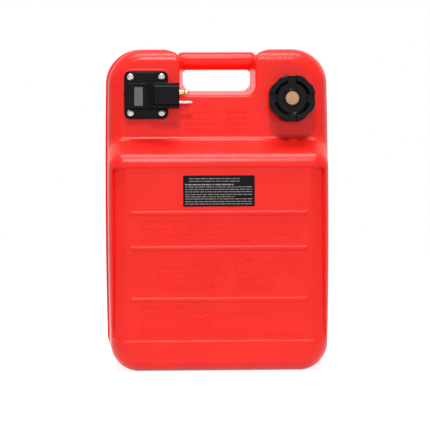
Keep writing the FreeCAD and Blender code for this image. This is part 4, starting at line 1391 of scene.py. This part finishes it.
MIDDLE_LEVELS = (162.0, 154.0, 146.0, 138.0, 130.0, 123.0)
LOWEST_LEVELS = (95.0, 86.5, 78.5, 70.5, 62.5, 55.5)
DECK_LEVELS = (383.0, 374.0, 365.5, 357.0)


@dataclass
class RaisedRows:
    """The low raised rows on the deck and between the ribs, kept as plain dashes."""

    panel_blocks: tuple[RowBlock, ...] = (
        RowBlock(-115.0, (219.4, 210.0, 200.9, 193.4), (-12.0, 14.0, -9.0, 48.0)),
        RowBlock(71.0, (219.4,), (116.0,)),
        RowBlock(74.0, (200.9,), (116.0,)),
        RowBlock(-92.0, MIDDLE_LEVELS, (1.0, 1.0, 9.0, -3.0, -3.0, -3.0)),
        RowBlock(23.0, MIDDLE_LEVELS, (118.0, 114.0, 113.0, 73.0, 80.0, 80.0)),
        RowBlock(-116.0, LOWEST_LEVELS, (-44.0, 63.0, 16.0, -9.0, 60.0, 118.0)),
    )
    deck_blocks: tuple[RowBlock, ...] = (
        RowBlock(-47.0, DECK_LEVELS, (-6.0, -10.0, -2.0, -6.0)),
        RowBlock(12.0, DECK_LEVELS, (44.0, 40.0, 44.0, 44.0)),
    )
    proud: float = 0.75
    sunk: float = 0.2
    half_tall: float = 1.9
    ease: float = 0.5
    dash_long: Pair = (1.8, 4.2)
    dash_gap: Pair = (0.7, 2.4)
    seed: int = 11

    def build(self) -> None:
        """Builds the dashes of every row as one piece."""
        dice = random.Random(self.seed)
        dashes = Blocks()
        for face, blocks in ((PANEL_FACE, self.panel_blocks), (DECK, self.deck_blocks)):
            depths = (face - self.proud, face + self.sunk)
            rows = [(block.left, *row) for block in blocks for row in zip(block.levels, block.stops)]
            for left, level, stop in rows:
                while left < stop:
                    right = min(left + dice.uniform(*self.dash_long), stop)
                    dashes.add((left, right, level), self.half_tall, depths, self.ease)
                    left = right + dice.uniform(*self.dash_gap)
        dashes.gather("raised_rows", TANK_SKIN, Slot.TANK_RED)


def point_at(place: Vector, target: Vector) -> Quaternion:
    """The turn that makes a lamp or the camera at a place look at a target."""
    return (target - place).to_track_quat("-Z", "Y")


@dataclass(frozen=True)
class Lamp:
    """A soft rectangular lamp: where it hangs and its width and height in metres, and its watts."""

    name: str
    place: Spot
    size: Pair
    power: float
    aim: Spot = (0.0, 0.0, 0.27)

    def build(self) -> None:
        """Hangs the lamp and aims it at the tank."""
        data = bpy.data.lights.new(self.name, "AREA")
        data.shape = "RECTANGLE"
        data.size, data.size_y = self.size
        data.energy = self.power
        lamp = put(self.name, data)
        lamp.location = self.place
        lamp.rotation_euler = point_at(lamp.location, Vector(self.aim)).to_euler()


@dataclass
class Studio:
    """A white floor, plain soft lights and the camera at the photograph's angle. Its lengths are metres."""

    aim: Spot = (-0.0030, 0.0, 0.229)
    azimuth: float = -1.5
    away: float = 2.3
    lens: float = 125.7
    roll: float = 0.3
    world: float = 0.22
    floor_reach: float = 14.0
    floor_shade: float = 0.86
    floor_glow: float = 0.82
    lamps: tuple[Lamp, ...] = (
        Lamp("key", (-0.08, -1.9, 2.35), (0.42, 0.34), 34.5),
        Lamp("low_front", (0.0, -2.9, 0.55), (2.0, 0.4), 4.0),
        Lamp("overhead", (0.0, -0.32, 1.9), (1.3, 0.42), 23.0),
    )

    def build(self) -> None:
        """Sets up the camera, the world, the floor and the lamps."""
        self.build_camera()
        self.build_world()
        self.build_floor()
        for lamp in self.lamps:
            lamp.build()

    def build_camera(self) -> None:
        """Puts the camera level with the tank's middle, a little to the left."""
        data = bpy.data.cameras.new("camera")
        data.lens = self.lens
        camera = put("camera", data)
        turn = math.radians(self.azimuth)
        aim = Vector(self.aim)
        camera.location = aim + Vector((math.sin(turn), -math.cos(turn), 0.0)) * self.away
        facing = point_at(camera.location, aim).to_matrix().to_4x4()
        roll = Matrix.Rotation(math.radians(-self.roll), 4, "Z")
        camera.matrix_world = Matrix.Translation(camera.location) @ facing @ roll
        bpy.context.scene.camera = camera

    def seen_directly(self, tree: Tree) -> Socket:
        """Makes a value of one where a ray comes from the camera, a mirror or through glass.

        Args:
            tree: the nodes to add to.

        Returns:
            The output that holds it.
        """
        path = add_node(tree, "LightPath").outputs
        either = math_node(tree, "MAXIMUM", path["Is Camera Ray"], path["Is Glossy Ray"])
        return math_node(tree, "MAXIMUM", either, path["Is Transmission Ray"])

    def build_world(self) -> None:
        """A soft grey surround that is white where it is seen or mirrored."""
        world = bpy.data.worlds.new("surround")
        tree = clear_tree(world)
        white = (1.0, 1.0, 1.0, 1.0)
        grey = add_node(tree, "Background", white, self.world).outputs[0]
        bright = add_node(tree, "Background", white).outputs[0]
        show = add_node(tree, "MixShader", self.seen_directly(tree), grey, bright)
        add_node(tree, "OutputWorld", show.outputs[0])
        bpy.context.scene.world = world

    def build_floor(self) -> None:
        """A plain pale floor that keeps the tank's shadow and runs out to white."""
        reach = self.floor_reach / MM
        turns = ((-1, -1), (1, -1), (1, 1), (-1, 1))
        corners = np.array([(side * reach, end * reach, 0.0) for side, end in turns])
        floor = make_piece("floor", corners, [[0, 1, 2, 3]])
        made = bpy.data.materials.new("floor_white")
        tree = clear_tree(made)
        shade = self.floor_shade
        paper = add_node(tree, "BsdfDiffuse", (shade, shade, shade, 1.0))
        strength = math_node(tree, "MULTIPLY", self.seen_directly(tree), self.floor_glow)
        glow = add_node(tree, "Emission", Strength=strength)
        both = add_node(tree, "AddShader", paper.outputs[0], glow.outputs[0])
        add_node(tree, "OutputMaterial", both.outputs[0])
        floor.data.materials.append(made)


def dress_nodes(nodes: dict[str, Piece]) -> None:
    """Gives every CAD node that stays its own finish.

    Args:
        nodes: the CAD nodes by name.
    """
    for name, finish in NODE_FINISHES.items():
        node = nodes[name]
        node.data.materials.clear()
        node.data.materials.append(finish.material())
        LOG.info("%s: kept from the model as %s", name, finish.name)


def main() -> None:
    """Loads the frame and builds every piece in order."""
    logging.basicConfig(level=logging.INFO, format="%(name)s: %(message)s")
    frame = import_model()
    bpy.context.scene.view_settings.view_transform = "Standard"
    Studio().build()
    for piece in (Tank(), FillerCap(), GaugeHead(), Connector(), Sticker(), RaisedRows()):
        piece.build()
    dress_nodes(frame["nodes"])
    bpy.context.view_layer.update()


if __name__ == "__main__":
    main()
